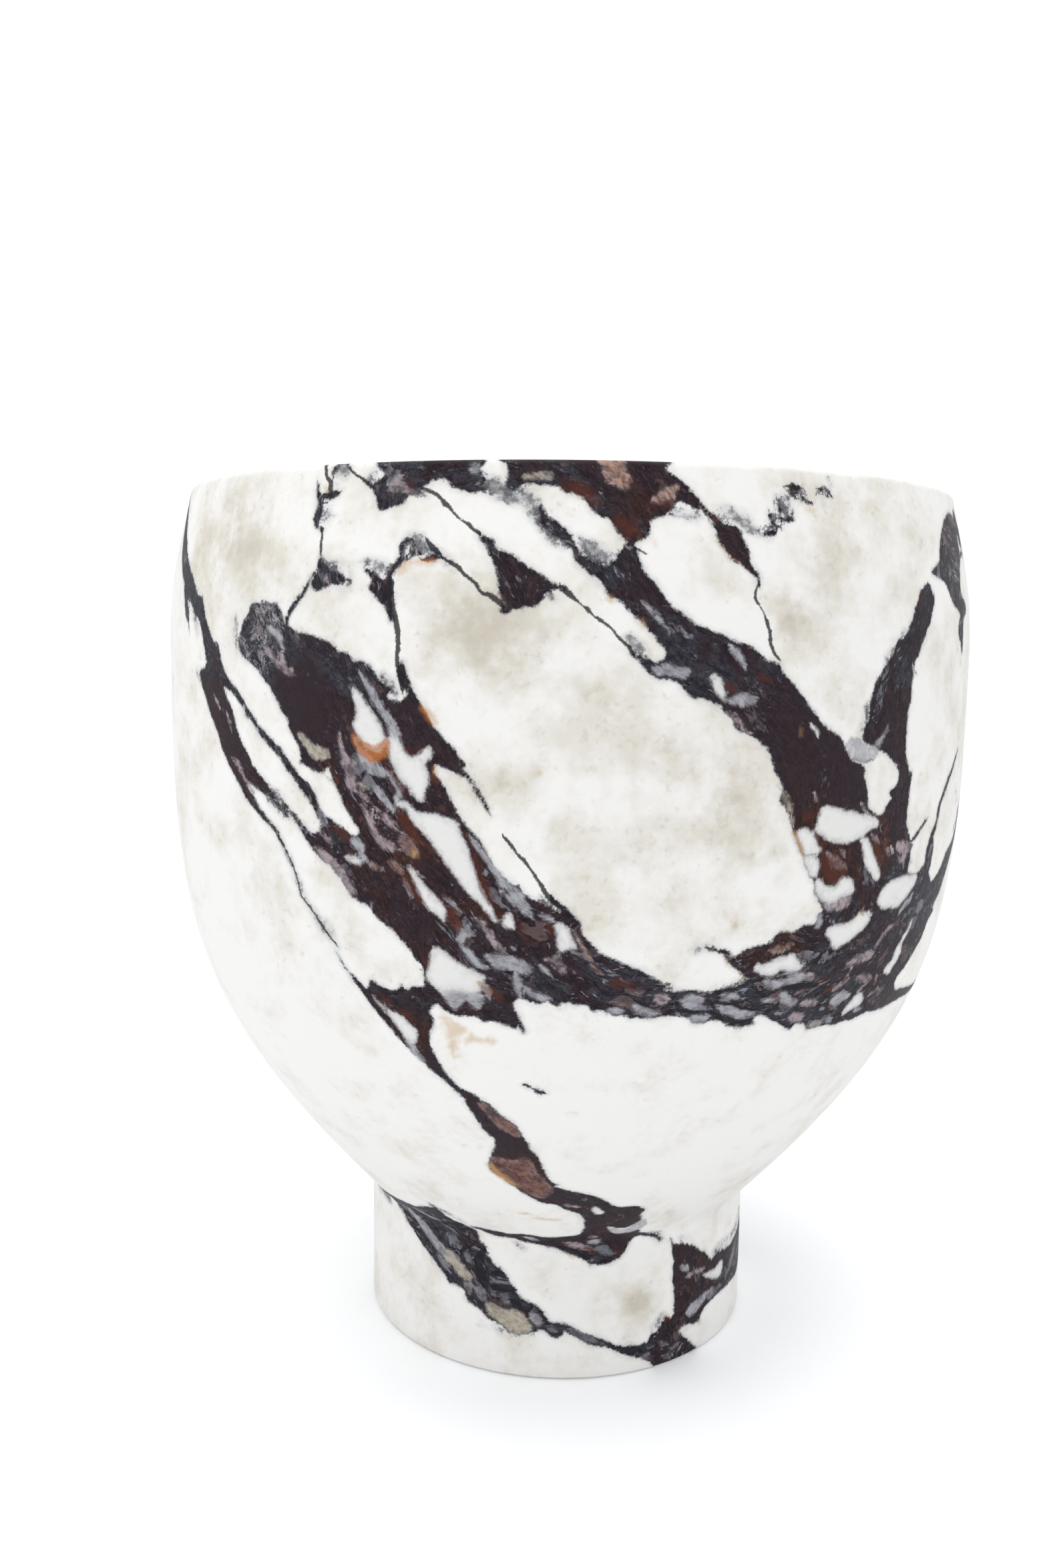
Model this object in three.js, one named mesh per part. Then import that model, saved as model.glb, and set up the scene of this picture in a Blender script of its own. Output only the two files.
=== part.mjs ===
import * as THREE from 'three';

// Marble vase: a full ovoid bowl on a short plain foot, turned and hollowed from one block of stone,
// with a felt disc glued into a shallow recess under the foot.
// Millimetres, +Z up. The origin is the centre of the face that the vase stands on.

// Bowl and foot
const HEIGHT = 300;
const BELLY_DIAMETER = 283.5;
const BELLY_BELOW_RIM = 67.5;
const MOUTH_DRAWN_IN = 7.8;
const FOOT_DIAMETER = 141.4;
const FOOT_HEIGHT = 46;

// How the outline leaves the foot and closes at the mouth
const BOWL_SPRING_ANGLE = THREE.MathUtils.degToRad(48);
const MOUTH_LEAN = THREE.MathUtils.degToRad(12.5);
const FOOT_FILLET = 8;

// How full the bowl's curves are, by the reach of their handles: from the foot as a share of the way
// out to the belly, and to both sides of the belly as a share of the height that each curve spans
const REACH_AT_FOOT = 0.885;
const REACH_UNDER_BELLY = 0.46;
const REACH_OVER_BELLY = 0.5;

// Stone left by the hollow
const WALL = 16;
const FLOOR_THICKNESS = 52;
const DISH_RISE = 10;
const LIP_RADIUS = 2.2;
const FOOT_ARRIS = 0.8;

// Felt disc and its recess
const FELT_THICKNESS = 1.7;
const FELT_STANDS_PROUD = 0.5;
const GLUE_FILM = 0.3;
const FELT_SIDE_CLEARANCE = 0.5;
const RECESS_BORDER = 10;

// Fineness of the turned surfaces
const TURNS = 80;
const BOWL_STEPS = 12;
const SHOULDER_STEPS = 5;
const DISH_STEPS = 5;
const ARC_STEPS = 3;
const HALVINGS = 30;

const footRadius = FOOT_DIAMETER / 2;
const bellyRadius = BELLY_DIAMETER / 2;
const mouthRadius = bellyRadius - MOUTH_DRAWN_IN;
const bellyHeight = HEIGHT - BELLY_BELOW_RIM;
const recessRadius = footRadius - RECESS_BORDER;

const stoneBottom = FELT_STANDS_PROUD;
const recessCeiling = FELT_THICKNESS + GLUE_FILM;

// A point of the outline: x is the distance from the axis, y the height
const at = (radius, height) => new THREE.Vector2(radius, height);

// The unit direction at an angle from the horizontal
const toward = (angle) => at(Math.cos(angle), Math.sin(angle));

// A point moved some way along a direction
const along = (point, direction, distance) => point.clone().addScaledVector(direction, distance);

// An arc about a centre, ends included
function arc(centre, radius, fromAngle, toAngle) {
  const points = [];
  for (let i = 0; i <= ARC_STEPS; i += 1) {
    const angle = THREE.MathUtils.lerp(fromAngle, toAngle, i / ARC_STEPS);
    points.push(along(centre, toward(angle), radius));
  }
  return points;
}

// The outer curves of the bowl: from the foot fillet to the belly, and from the belly to the lip
function bowlCurves() {
  const spring = toward(BOWL_SPRING_ANGLE);
  const filletCentre = at(footRadius + FOOT_FILLET, FOOT_HEIGHT);
  const start = along(filletCentre, toward(BOWL_SPRING_ANGLE + Math.PI / 2), FOOT_FILLET);
  const belly = at(bellyRadius, bellyHeight);
  const mouth = at(mouthRadius, HEIGHT - LIP_RADIUS * (1 - Math.sin(MOUTH_LEAN)));
  const springReach = ((bellyRadius - start.x) * REACH_AT_FOOT) / spring.x;
  const bellyReach = (bellyHeight - FOOT_HEIGHT) * REACH_UNDER_BELLY;
  const shoulderReach = BELLY_BELOW_RIM * REACH_OVER_BELLY;
  const mouthDirection = toward(MOUTH_LEAN - Math.PI / 2);
  const lower = new THREE.CubicBezierCurve(
    start,
    along(start, spring, springReach),
    along(belly, at(0, -1), bellyReach),
    belly,
  );
  const upper = new THREE.CubicBezierCurve(
    belly,
    along(belly, at(0, 1), shoulderReach),
    along(mouth, mouthDirection, shoulderReach),
    mouth,
  );
  return { filletCentre, lower, upper };
}

// The point of a curve at a share of its length, moved in from it at right angles by the wall
function inside(curve, share) {
  const tangent = curve.getTangentAt(share);
  return along(curve.getPointAt(share), at(-tangent.y, tangent.x), WALL);
}

// The inside of the wall along a curve, from a share of its length to its upper end
function insideFrom(curve, share, steps) {
  const points = [];
  for (let i = 0; i <= steps; i += 1) {
    points.push(inside(curve, THREE.MathUtils.lerp(share, 1, i / steps)));
  }
  return points;
}

// The share of a curve's length at which the inside of the wall is as high as the dish's edge, or 0
function shareAtHeight(curve, height) {
  let low = 0;
  let high = 1;
  for (let i = 0; i < HALVINGS; i += 1) {
    const middle = (low + high) / 2;
    if (inside(curve, middle).y < height) {
      low = middle;
    } else {
      high = middle;
    }
  }
  return low;
}

// The outside of the stone, from the foot's lower edge to the top of the lip
function outside() {
  const { filletCentre, lower, upper } = bowlCurves();
  const arrisCentre = at(footRadius - FOOT_ARRIS, stoneBottom + FOOT_ARRIS);
  const lipCentre = along(upper.getPoint(1), toward(Math.PI + MOUTH_LEAN), LIP_RADIUS);
  return [
    ...arc(arrisCentre, FOOT_ARRIS, -Math.PI / 2, 0),
    ...arc(filletCentre, FOOT_FILLET, Math.PI, BOWL_SPRING_ANGLE + Math.PI / 2),
    ...lower.getSpacedPoints(BOWL_STEPS).slice(1),
    ...upper.getSpacedPoints(SHOULDER_STEPS).slice(1),
    ...arc(lipCentre, LIP_RADIUS, MOUTH_LEAN, Math.PI / 2).slice(1),
  ];
}

// The hollow, from the flat of the lip down a wall of even thickness to a dished floor
function hollow() {
  const { lower, upper } = bowlCurves();
  const floor = at(0, stoneBottom + FLOOR_THICKNESS);
  const dishShare = shareAtHeight(lower, floor.y + DISH_RISE);
  const shoulder = insideFrom(upper, 0, SHOULDER_STEPS).reverse();
  const wall = insideFrom(lower, dishShare, BOWL_STEPS).reverse();
  const wallTop = along(
    shoulder[0],
    toward(MOUTH_LEAN + Math.PI / 2),
    (WALL - 2 * LIP_RADIUS) * Math.tan(MOUTH_LEAN),
  );
  const lipCentre = along(wallTop, toward(MOUTH_LEAN), LIP_RADIUS);
  const wallFoot = wall[wall.length - 1];
  const slope = lower.getTangentAt(dishShare);
  const dish = new THREE.CubicBezierCurve(
    wallFoot,
    along(wallFoot, slope, (floor.y - wallFoot.y) / slope.y),
    along(floor, at(1, 0), wallFoot.x / 2),
    floor,
  );
  return [
    ...arc(lipCentre, LIP_RADIUS, Math.PI / 2, Math.PI + MOUTH_LEAN),
    ...shoulder,
    ...wall.slice(1),
    ...dish.getSpacedPoints(DISH_STEPS).slice(1),
  ];
}

// A closed body turned about the vertical axis
function turned(outline) {
  const geometry = new THREE.LatheGeometry(outline, TURNS);
  geometry.rotateX(Math.PI / 2);
  return geometry;
}

function vaseBody() {
  const recess = [at(0, recessCeiling), at(recessRadius, recessCeiling), at(recessRadius, stoneBottom)];
  const marble = new THREE.MeshStandardMaterial({ color: 0xe4e1dc, roughness: 0.45, metalness: 0 });
  const mesh = new THREE.Mesh(turned([...recess, ...outside(), ...hollow()]), marble);
  mesh.name = 'vase_body';
  return mesh;
}

function feltPad() {
  const radius = recessRadius - FELT_SIDE_CLEARANCE;
  const outline = [at(0, 0), at(radius, 0), at(radius, FELT_THICKNESS), at(0, FELT_THICKNESS)];
  const felt = new THREE.MeshStandardMaterial({ color: 0x8d8b86, roughness: 0.95, metalness: 0 });
  const mesh = new THREE.Mesh(turned(outline), felt);
  mesh.name = 'felt_pad';
  return mesh;
}

const vase = new THREE.Group();
vase.name = 'marble_vase';
vase.add(vaseBody(), feltPad());

export default vase;
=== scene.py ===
from math import cos, pi, radians, sin, tan

import bmesh
import bpy
import numpy as np
from mathutils import Matrix, Vector
from mathutils.geometry import interpolate_bezier


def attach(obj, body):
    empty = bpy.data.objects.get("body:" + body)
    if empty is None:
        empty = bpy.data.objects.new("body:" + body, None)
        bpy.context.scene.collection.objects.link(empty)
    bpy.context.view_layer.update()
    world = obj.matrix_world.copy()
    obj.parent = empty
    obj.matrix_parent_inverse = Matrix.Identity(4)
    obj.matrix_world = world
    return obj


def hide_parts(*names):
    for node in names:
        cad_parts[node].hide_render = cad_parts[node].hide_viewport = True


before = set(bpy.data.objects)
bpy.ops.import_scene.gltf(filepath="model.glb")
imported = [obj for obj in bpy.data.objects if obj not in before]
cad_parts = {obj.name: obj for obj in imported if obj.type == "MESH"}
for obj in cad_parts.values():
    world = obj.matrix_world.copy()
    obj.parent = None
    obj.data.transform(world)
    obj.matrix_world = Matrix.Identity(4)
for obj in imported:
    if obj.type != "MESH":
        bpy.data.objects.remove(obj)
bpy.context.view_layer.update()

MM = 0.001

# The vase's outline, in millimetres, as the turned stone has it
HEIGHT = 300
BELLY_RADIUS = 141.75
BELLY_HEIGHT = 232.5
MOUTH_RADIUS = 133.95
FOOT_RADIUS = 70.7
FOOT_HEIGHT = 46
STONE_BOTTOM = 0.5
SPRING = radians(48)
LEAN = radians(12.5)
FOOT_FILLET = 8
LIP_RADIUS = 2.2
ARRIS = 0.8
WALL = 16
FLOOR_HEIGHT = 52.5
DISH_HEIGHT = 62.5
REACH_AT_FOOT = 0.885
REACH_UNDER_BELLY = 0.46
REACH_OVER_BELLY = 0.5
RECESS_RADIUS = 60.7
RECESS_CEILING = 2.0
FELT_RADIUS = 60.2
FELT_THICKNESS = 1.7

# How finely the stone is turned: columns round it, and the height of a row outside and inside; near
# the markings its faces are split again, the last time only in front
COLUMNS = 264
ROW = 3.3
INSIDE_ROW = 6
SPLIT_REACH = (3, 1.5)
FRONT = radians(82)

FAR = 25.0


def toward(angle):
    return Vector((cos(angle), sin(angle)))


def arc(centre, radius, start, end, steps):
    angles = [start + (end - start) * i / steps for i in range(steps + 1)]
    return [centre + toward(a) * radius for a in angles]


def even(points, spacing):
    """The same path with points at an even spacing."""
    path = np.array([tuple(p)[:2] for p in points])
    along = np.concatenate([[0], np.cumsum(np.hypot(*np.diff(path, axis=0).T))])
    count = max(2, round(along[-1] / spacing) + 1)
    at = np.linspace(0, along[-1], count)
    return [Vector((np.interp(s, along, path[:, 0]), np.interp(s, along, path[:, 1]))) for s in at]


def bezier(a, b, c, d):
    points = interpolate_bezier(*(p.to_3d() for p in (a, b, c, d)), 400)
    return [p.to_2d() for p in points]


def bowl_curves():
    fillet_centre = Vector((FOOT_RADIUS + FOOT_FILLET, FOOT_HEIGHT))
    start = fillet_centre + toward(SPRING + pi / 2) * FOOT_FILLET
    belly = Vector((BELLY_RADIUS, BELLY_HEIGHT))
    mouth = Vector((MOUTH_RADIUS, HEIGHT - LIP_RADIUS * (1 - sin(LEAN))))
    spring_reach = (BELLY_RADIUS - start.x) * REACH_AT_FOOT / cos(SPRING)
    belly_reach = (BELLY_HEIGHT - FOOT_HEIGHT) * REACH_UNDER_BELLY
    shoulder = (HEIGHT - BELLY_HEIGHT) * REACH_OVER_BELLY
    lower = bezier(start, start + toward(SPRING) * spring_reach, belly - Vector((0, belly_reach)), belly)
    upper = bezier(belly, belly + Vector((0, shoulder)), mouth + toward(LEAN - pi / 2) * shoulder, mouth)
    return fillet_centre, lower + upper[1:]


def outline():
    """Points of the half section, from the axis under the foot round to the axis in the hollow."""
    fillet_centre, bowl = bowl_curves()
    arris_centre = Vector((FOOT_RADIUS - ARRIS, STONE_BOTTOM + ARRIS))
    lip_centre = bowl[-1] - toward(LEAN) * LIP_RADIUS
    fillet = arc(fillet_centre, FOOT_FILLET, pi, SPRING + pi / 2, 5)
    foot = even([Vector((FOOT_RADIUS, STONE_BOTTOM + ARRIS)), fillet[0]], ROW * 1.1)
    outside = arc(arris_centre, ARRIS, -pi / 2, 0, 3) + foot[1:] + fillet[1:] + even(bowl, ROW)[1:]
    outside += arc(lip_centre, LIP_RADIUS, LEAN, pi / 2, 5)[1:]
    wall = [p + toward_in * WALL for p, toward_in in inward(bowl)]
    wall = [p for p in wall if p.y > DISH_HEIGHT]
    lip_in = wall[-1] + toward(LEAN + pi / 2) * (WALL - 2 * LIP_RADIUS) * tan(LEAN) + toward(LEAN) * LIP_RADIUS
    slope = (wall[1] - wall[0]).normalized()
    floor = Vector((0, FLOOR_HEIGHT))
    dish = bezier(wall[0], wall[0] + slope * (floor.y - wall[0].y) / slope.y, floor + Vector((wall[0].x / 2, 0)), floor)
    inside = arc(lip_in, LIP_RADIUS, pi / 2, pi + LEAN, 5) + even(wall, INSIDE_ROW)[::-1] + even(dish, INSIDE_ROW)[1:]
    recess = [Vector((0, RECESS_CEILING)), Vector((RECESS_RADIUS, RECESS_CEILING)), Vector((RECESS_RADIUS, STONE_BOTTOM))]
    underside = even([recess[-1], outside[0]], 3)
    return recess + underside[1:-1] + outside + inside


def inward(curve):
    """Each point of a curve with the unit direction to its left, into the hollow."""
    pairs = []
    for i, p in enumerate(curve):
        ahead = curve[min(i + 1, len(curve) - 1)] - curve[max(i - 1, 0)]
        pairs.append((p, Vector((-ahead.y, ahead.x)).normalized()))
    return pairs


def turned(name, points, columns=COLUMNS):
    """A closed mesh turned about the vertical axis from a half section in millimetres."""
    bm = bmesh.new()
    verts = [bm.verts.new((p.x * MM, 0, p.y * MM)) for p in points]
    edges = [bm.edges.new(pair) for pair in zip(verts, verts[1:])]
    bmesh.ops.spin(
        bm, geom=verts + edges, cent=(0, 0, 0), axis=(0, 0, 1), angle=2 * pi, steps=columns, use_merge=True
    )
    bmesh.ops.remove_doubles(bm, verts=bm.verts, dist=1e-6)
    bmesh.ops.recalc_face_normals(bm, faces=bm.faces)
    for face in bm.faces:
        face.smooth = True
    mesh = bpy.data.meshes.new(name)
    bm.to_mesh(mesh)
    bm.free()
    piece = bpy.data.objects.new(name, mesh)
    bpy.context.collection.objects.link(piece)
    return piece


# The stone's markings. Each is drawn as azimuth in degrees, 0 at the front and rising to
# the right, and height in millimetres; a stroke's point also has its half width in millimetres.

# Colours of the fragments and stains, as light reflected in red, green and blue
WHITE = (0.8, 0.795, 0.785)
BLUE_GREY = (0.42, 0.42, 0.46)
LILAC = (0.4, 0.31, 0.33)
TAN = (0.42, 0.36, 0.28)
SALMON = (0.22, 0.115, 0.095)
RUST = (0.27, 0.13, 0.08)
STEEL = (0.13, 0.14, 0.165)
MAUVE = (0.19, 0.165, 0.18)
RED_BROWN = (0.088, 0.027, 0.019)
OCHRE = (0.46, 0.26, 0.11)
AMBER = (0.48, 0.17, 0.045)
ROSE = (0.44, 0.27, 0.21)
SAND = (0.5, 0.45, 0.36)
OLIVE = (0.42, 0.39, 0.33)

DARK_AREAS = [
    # the rim: the left block and the middle
    [(-23.1, 301.5), (-22.7, 298), (-22.2, 296), (-23.6, 294), (-24, 293.3), (-23, 290.8), (-22.8, 289), (-22.4, 286.4),
     (-21.7, 286.4), (-21.1, 287.2), (-20.1, 287.7), (-19.1, 288.4), (-18.8, 289.9), (-17.8, 290.1), (-16.5, 290.3),
     (-17.3, 292.4), (-16.2, 293.4), (-15.8, 294.7), (-14.3, 294.8), (-13.8, 293), (-12.8, 291.9), (-11.7, 291.1),
     (-11, 290.8), (-10.1, 291.1), (-9.3, 290.8), (-9.6, 293), (-9.5, 295.8), (-10.3, 297.2), (-10.4, 301.5)],
    # the rim: the brown block with its right arm, running down into the head of the broad diagonal
    [(-7.2, 301.5), (-7, 298), (-7.1, 295), (-7, 292), (-6, 291.3), (-5.4, 293), (-4, 293), (-2.4, 292.9),
     (-1.1, 292.2), (-0.4, 291), (0.6, 290.5), (1.6, 289.2), (2.3, 287.3), (3.1, 285.5), (4, 284.6), (4.7, 283.9),
     (5, 282.5), (5.6, 280.1), (6.5, 278.4), (5.9, 276.6), (5.3, 275), (5, 273.1), (4.1, 272), (3.3, 272.7),
     (2.5, 273.7), (1.2, 273.3), (2, 271.1), (2.8, 269.5), (3.6, 267.8), (4, 265.7), (4.2, 264.3), (4.9, 263.3),
     (5.8, 262.3), (6.5, 260.6), (7.2, 258.9), (8, 257.5), (11, 254), (14.5, 254), (13.4, 258), (12.7, 259.4),
     (12, 260.7), (11.2, 261.8), (10.6, 264.2), (9.9, 266.6), (9.1, 268.6), (8.4, 270.4), (8.1, 272.1), (7.8, 274.3),
     (7.5, 276.3), (7.5, 278.4), (8.6, 279.4), (9, 281.3), (9.1, 283.4), (9.5, 284.4), (10.6, 285.3), (11.5, 286.8),
     (12, 288.3), (12.6, 289), (13.5, 288.4), (14.3, 287.8), (15.4, 286.8), (15.7, 285.7), (16.3, 283.9), (16.6, 281.1),
     (17, 279), (17.6, 276.9), (18.2, 274.8), (18.7, 273.8), (19.3, 273.3), (20.1, 272.4), (20.7, 274), (20.5, 277.8),
     (20, 280), (19.8, 282.1), (19, 283.5), (18.1, 283.4), (17.4, 285.2), (16.4, 286.5), (15.6, 288.1), (14.7, 290.3),
     (13.9, 292.2), (13.5, 293.9), (12.7, 295.4), (11.9, 296.4), (11, 298.1), (10.7, 301.5)],
    # the dark triangle high in the middle
    [(-10.1, 280.9), (-9.4, 279.6), (-8.7, 279), (-8.2, 277.8), (-7.8, 276.2), (-7.1, 275.2), (-6.2, 274.9),
     (-5.5, 273.5), (-4.6, 272.3), (-3.7, 270.5), (-2.8, 269.3), (-2.1, 268.3), (-1.6, 267.4), (-0.6, 266.3),
     (0.1, 264.7), (-1.3, 265.2), (-2.3, 264.5), (-2.9, 262), (-3.3, 260.8), (-4.1, 260.9), (-5.3, 260.1), (-6, 260),
     (-6.4, 258.7), (-7.2, 258.9), (-7.3, 260.1), (-7, 261.5), (-7.2, 263.3), (-7.5, 265), (-7.7, 267.5), (-7.8, 269.6),
     (-8.1, 271.7), (-8.4, 273.8), (-9, 275.7), (-9.3, 277.2), (-10, 279)],
    # the plum patch beside the left hairline, and the maroon wedge
    [(-29.9, 275), (-29.3, 273.2), (-28.5, 271.4), (-27.4, 269.8), (-26.3, 268.4), (-25.2, 267.2), (-26.6, 266.6),
     (-28, 266), (-28.9, 265), (-29.8, 264.4), (-30.5, 265.2), (-30.8, 266.8), (-30.4, 269), (-30, 271.3)],
    [(-23.8, 271.1), (-22.5, 270.1), (-21.5, 268.5), (-20.4, 267.9), (-19.7, 267), (-19.7, 262), (-19.3, 257),
     (-19.9, 256.5), (-20.6, 260), (-21.4, 261.8), (-22.2, 264), (-22.8, 265.8), (-22.4, 267.6), (-23, 269)],
    # the broad diagonal
    [(8, 266), (11, 262.9), (11.5, 261.1), (12.4, 259.7), (13.3, 258.3), (14.2, 256.6), (15.3, 256.3), (16.4, 255),
     (17.6, 253.8), (18.9, 252.4), (20.2, 251.4), (21.2, 250.3), (22, 248.6), (22.7, 247.5), (23.6, 247.1), (24.5, 244.6),
     (25.3, 242.4), (27, 238), (29, 232), (31, 226), (32, 214), (28, 208), (25.3, 212.3), (24.9, 214.5), (24.2, 216.7),
     (23.8, 219.3), (23.5, 221.9), (22.8, 223.8), (21.8, 225.5), (20.9, 227), (19.6, 227.9), (18.9, 229.4),
     (18.4, 231.6), (17.6, 233.4), (17.2, 234.9), (16.3, 235.6), (15.6, 236.7), (14.6, 237.3), (14.1, 237),
     (13.5, 238.5), (12.6, 240.3), (11.8, 241.7), (11.1, 242), (10.2, 242.2), (9.3, 243.2), (8.4, 245.2), (7.8, 246.9),
     (6.8, 248.8), (7.3, 249), (8.1, 248.3), (8.8, 247.9), (9.5, 246.6), (10.3, 247.3), (10.7, 248), (10.7, 249.8),
     (10.2, 251.5), (9.5, 253.3), (8.7, 255.4), (8.2, 256.9), (7.7, 258.1), (6.7, 260.5), (6, 264)],
    # the grey patch high at the right edge, with its tail
    [(56.9, 284.5), (58.5, 288.5), (61, 291.5), (64.5, 293), (67, 290), (67, 283), (66.5, 279.5), (64.5, 275), (63.5, 271),
     (63.5, 267), (66, 264.5), (66, 261.5), (64, 259.5), (63.8, 256.8), (63.6, 253), (63.3, 248), (62, 252),
     (60.8, 255), (61, 258), (62, 260.3), (60.4, 262.3), (58.2, 264.9), (57, 268), (55.6, 270.7), (53.7, 271.8),
     (51.9, 273), (52.3, 274.2), (54.9, 277.2), (55.6, 281)],
    # the branch that climbs at the right
    [(50.2, 270), (51.2, 269), (51.8, 266.6), (51.9, 264.2), (51, 261), (50.6, 258.2), (49.6, 255.8), (49.1, 253.8),
     (48.2, 251.4), (47.7, 248.7), (46.9, 247.1), (46.6, 244.8), (46, 239), (41.5, 233), (38.5, 236), (39, 240),
     (40.2, 245), (41, 246.5), (41.8, 248.8), (42.5, 252.2), (44, 253.8), (45, 256.2), (45.9, 259), (46.6, 262),
     (47.5, 265.2), (48.2, 267.5), (49.2, 268.8)],
    # the great blotch at the left and the torn patch above it
    [(-40.4, 261), (-41.1, 258.4), (-42.1, 256), (-42.5, 253.6), (-43.1, 251.3), (-43.2, 249.3), (-42.9, 247.4),
     (-42.4, 245.7), (-41, 244), (-39.7, 242.2), (-38.8, 240.4), (-38, 238.5), (-37.1, 237.1), (-36.6, 235.2),
     (-35.8, 233.1), (-35.3, 231.1), (-34.6, 229.3), (-34.1, 227.4), (-34, 225.9), (-33.3, 223.7), (-32.8, 221.8),
     (-32.3, 219.7), (-32.1, 217.4), (-32.3, 215.9), (-31.1, 214.9), (-29.9, 213.9), (-28.9, 213.3), (-28.3, 214.4),
     (-27.6, 215.2), (-26.8, 214), (-24, 212), (-20, 210), (-16, 209), (-15, 213), (-14.8, 218), (-13, 218.5),
     (-11.3, 217.4), (-10.9, 218.4),
     (-11.4, 220.2), (-12.1, 222.3), (-13, 224.5), (-13.8, 226.9), (-14.6, 229), (-15.5, 232.6), (-16, 234.4),
     (-16.5, 236.1), (-17, 238.6), (-17.5, 241.4), (-17.9, 244), (-18.4, 246), (-18.9, 243.8), (-18.7, 240.2),
     (-18, 238), (-17.8, 236.6), (-18.3, 234.9), (-19.4, 234.7), (-20, 236.5), (-19.6, 238.3), (-20.1, 239),
     (-21, 240.4), (-21.7, 242.9), (-22.4, 244.3), (-23.4, 245.7), (-24.6, 245.7), (-25.3, 247.9), (-26.4, 248.2),
     (-27.3, 249.9), (-28.7, 251.3), (-30.4, 252.4), (-32, 252.8), (-34.3, 255.3), (-36, 261)],
    # the long vein at the left side: its trunk and lower limb
    [(-52.8, 263), (-51.4, 256.2), (-50.4, 253.3), (-49.3, 249.8), (-47.9, 249.1), (-47.3, 245.5), (-46.5, 241.5),
     (-45.7, 239.2), (-45.9, 237.9), (-46.7, 237.3), (-46.3, 235.1), (-45.8, 232.9), (-44.9, 230.6), (-44.2, 227.9),
     (-43.8, 225.1), (-43.3, 222.4), (-42.5, 219.8), (-41.8, 217.9), (-41.2, 216), (-40.4, 213.8), (-39.4, 211.3),
     (-38.4, 209.5), (-37.5, 207.7), (-36.4, 205.5), (-36, 204.6), (-36.8, 204.2), (-37.5, 204.5), (-38.3, 205.4),
     (-39, 206), (-40, 206.6), (-41.1, 207.8), (-41.6, 207.4), (-41.4, 206.3), (-40.5, 204.3), (-39.6, 202),
     (-38.8, 200.1), (-37.7, 198.2), (-36.7, 196.3), (-36.1, 194.7), (-35.8, 192.6), (-36.1, 192.2), (-36.5, 193.9),
     (-37.1, 195.3), (-37.9, 196.6), (-38.8, 197.5), (-39.7, 199.1), (-40.7, 200.7), (-41.4, 201.9), (-42.3, 203.5),
     (-43, 205.5), (-43.7, 207.9), (-44.4, 209.6), (-45.6, 211.9), (-46.2, 214.2), (-47.3, 217.2),
     (-47.9, 220.3), (-48.7, 223), (-49.7, 226.1), (-50.7, 228.9), (-51.2, 231.2), (-52.5, 234.8), (-53.3, 238.5),
     (-53, 240.5), (-52.2, 241), (-51.2, 242), (-51.3, 244.5), (-51.8, 247), (-52.3, 250), (-53, 254), (-54, 257),
     (-55, 262)],
    # its inner limb
    [(-46.7, 240), (-45.1, 238), (-43.9, 236.3), (-42.8, 234.4), (-42, 232.6), (-41.5, 230.7), (-40.4, 228.5),
     (-39.6, 227), (-38.9, 225.2), (-37.7, 223.4), (-36.3, 220.9), (-35.4, 219.9), (-34.7, 218.1), (-33.9, 216.3),
     (-33.1, 214.1), (-32.2, 212), (-31.2, 210.6), (-30.4, 208.9), (-29.7, 205.5), (-29, 202), (-29.5, 200),
     (-30.9, 205.2), (-31.3, 206.7), (-32.1, 208.5), (-32.9, 210.3), (-33.7, 212.1), (-34.6, 213.5), (-34.8, 214.6),
     (-35.5, 216.4), (-36.2, 217.8), (-37.3, 219.6), (-38.2, 221.4), (-39.2, 223.5), (-40.2, 225.8), (-40.9, 227.2),
     (-41.9, 227.9), (-41.8, 229), (-42.3, 230.5), (-42.9, 231.4), (-44, 233.3), (-45.2, 235.1), (-46.4, 235.9)],
    # the branch at the right, from the joint down
    [(46.9, 247), (45.8, 245.2), (45.6, 244), (45.7, 243.2), (46.1, 240.9), (46.3, 238), (46.1, 235.1), (45.7, 232.4),
     (45.6, 229), (45.6, 225.7), (45.5, 221.9), (45.8, 219), (46.4, 215.5), (47, 212.8), (47, 210.1), (47, 207.2),
     (47, 203), (44, 202), (43.5, 206), (42.5, 208.1), (42.9, 209.2), (44, 210.6), (44.4, 213.5), (43.6, 216.3),
     (42.5, 218.3), (41.3, 220.4), (40.2, 220.9), (39.9, 221.2), (39, 222.5), (38, 222.8), (37.2, 223.9),
     (36.8, 225.7), (37.3, 228), (37.7, 230.2), (37.9, 233), (38, 236.7), (38.5, 239.2), (38.9, 241.7), (40.1, 243.9),
     (40.8, 245.7), (41.7, 248.5)],
    # the dark ground of the right side, from the diagonal down
    [(24, 246.4), (24.5, 244.7), (25.5, 242.5), (26.6, 240.3), (27.5, 237.6), (28.2, 235.9), (28.7, 234.1),
     (29.4, 232.7), (30.1, 230.9), (31.1, 229), (31.9, 227.6), (32.9, 226.2), (33.7, 225.1), (34, 223.7),
     (34.5, 221.9), (35.1, 219.7), (36.2, 218.2), (37.2, 217.9), (37.7, 215.9), (37.6, 214.1), (38.2, 211.2),
     (38.4, 209.3), (38.5, 207.6), (38.7, 205.3), (39.5, 203.6), (40.3, 202.6), (41.8, 202), (42.3, 203.4),
     (42.9, 204.6), (43.6, 205.9), (46, 207), (47, 203), (47, 190), (46, 178), (45, 168), (44, 160), (38, 157),
     (31, 160), (27, 164), (25.5, 167.5), (26.3, 170), (26.7, 170.7), (27.5, 170.4), (28.3, 170.1), (29.3, 170.8),
     (29.9, 171.9), (31.3, 171.6), (31.8, 172.7), (31.9, 174.6), (32.5, 175.1), (32.4, 176.3), (31.9, 178.1),
     (31.5, 179.6), (31, 180.8), (30.9, 182.5), (30.7, 184.2), (30, 186.1), (29.6, 188.2), (29.1, 190.3),
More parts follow.
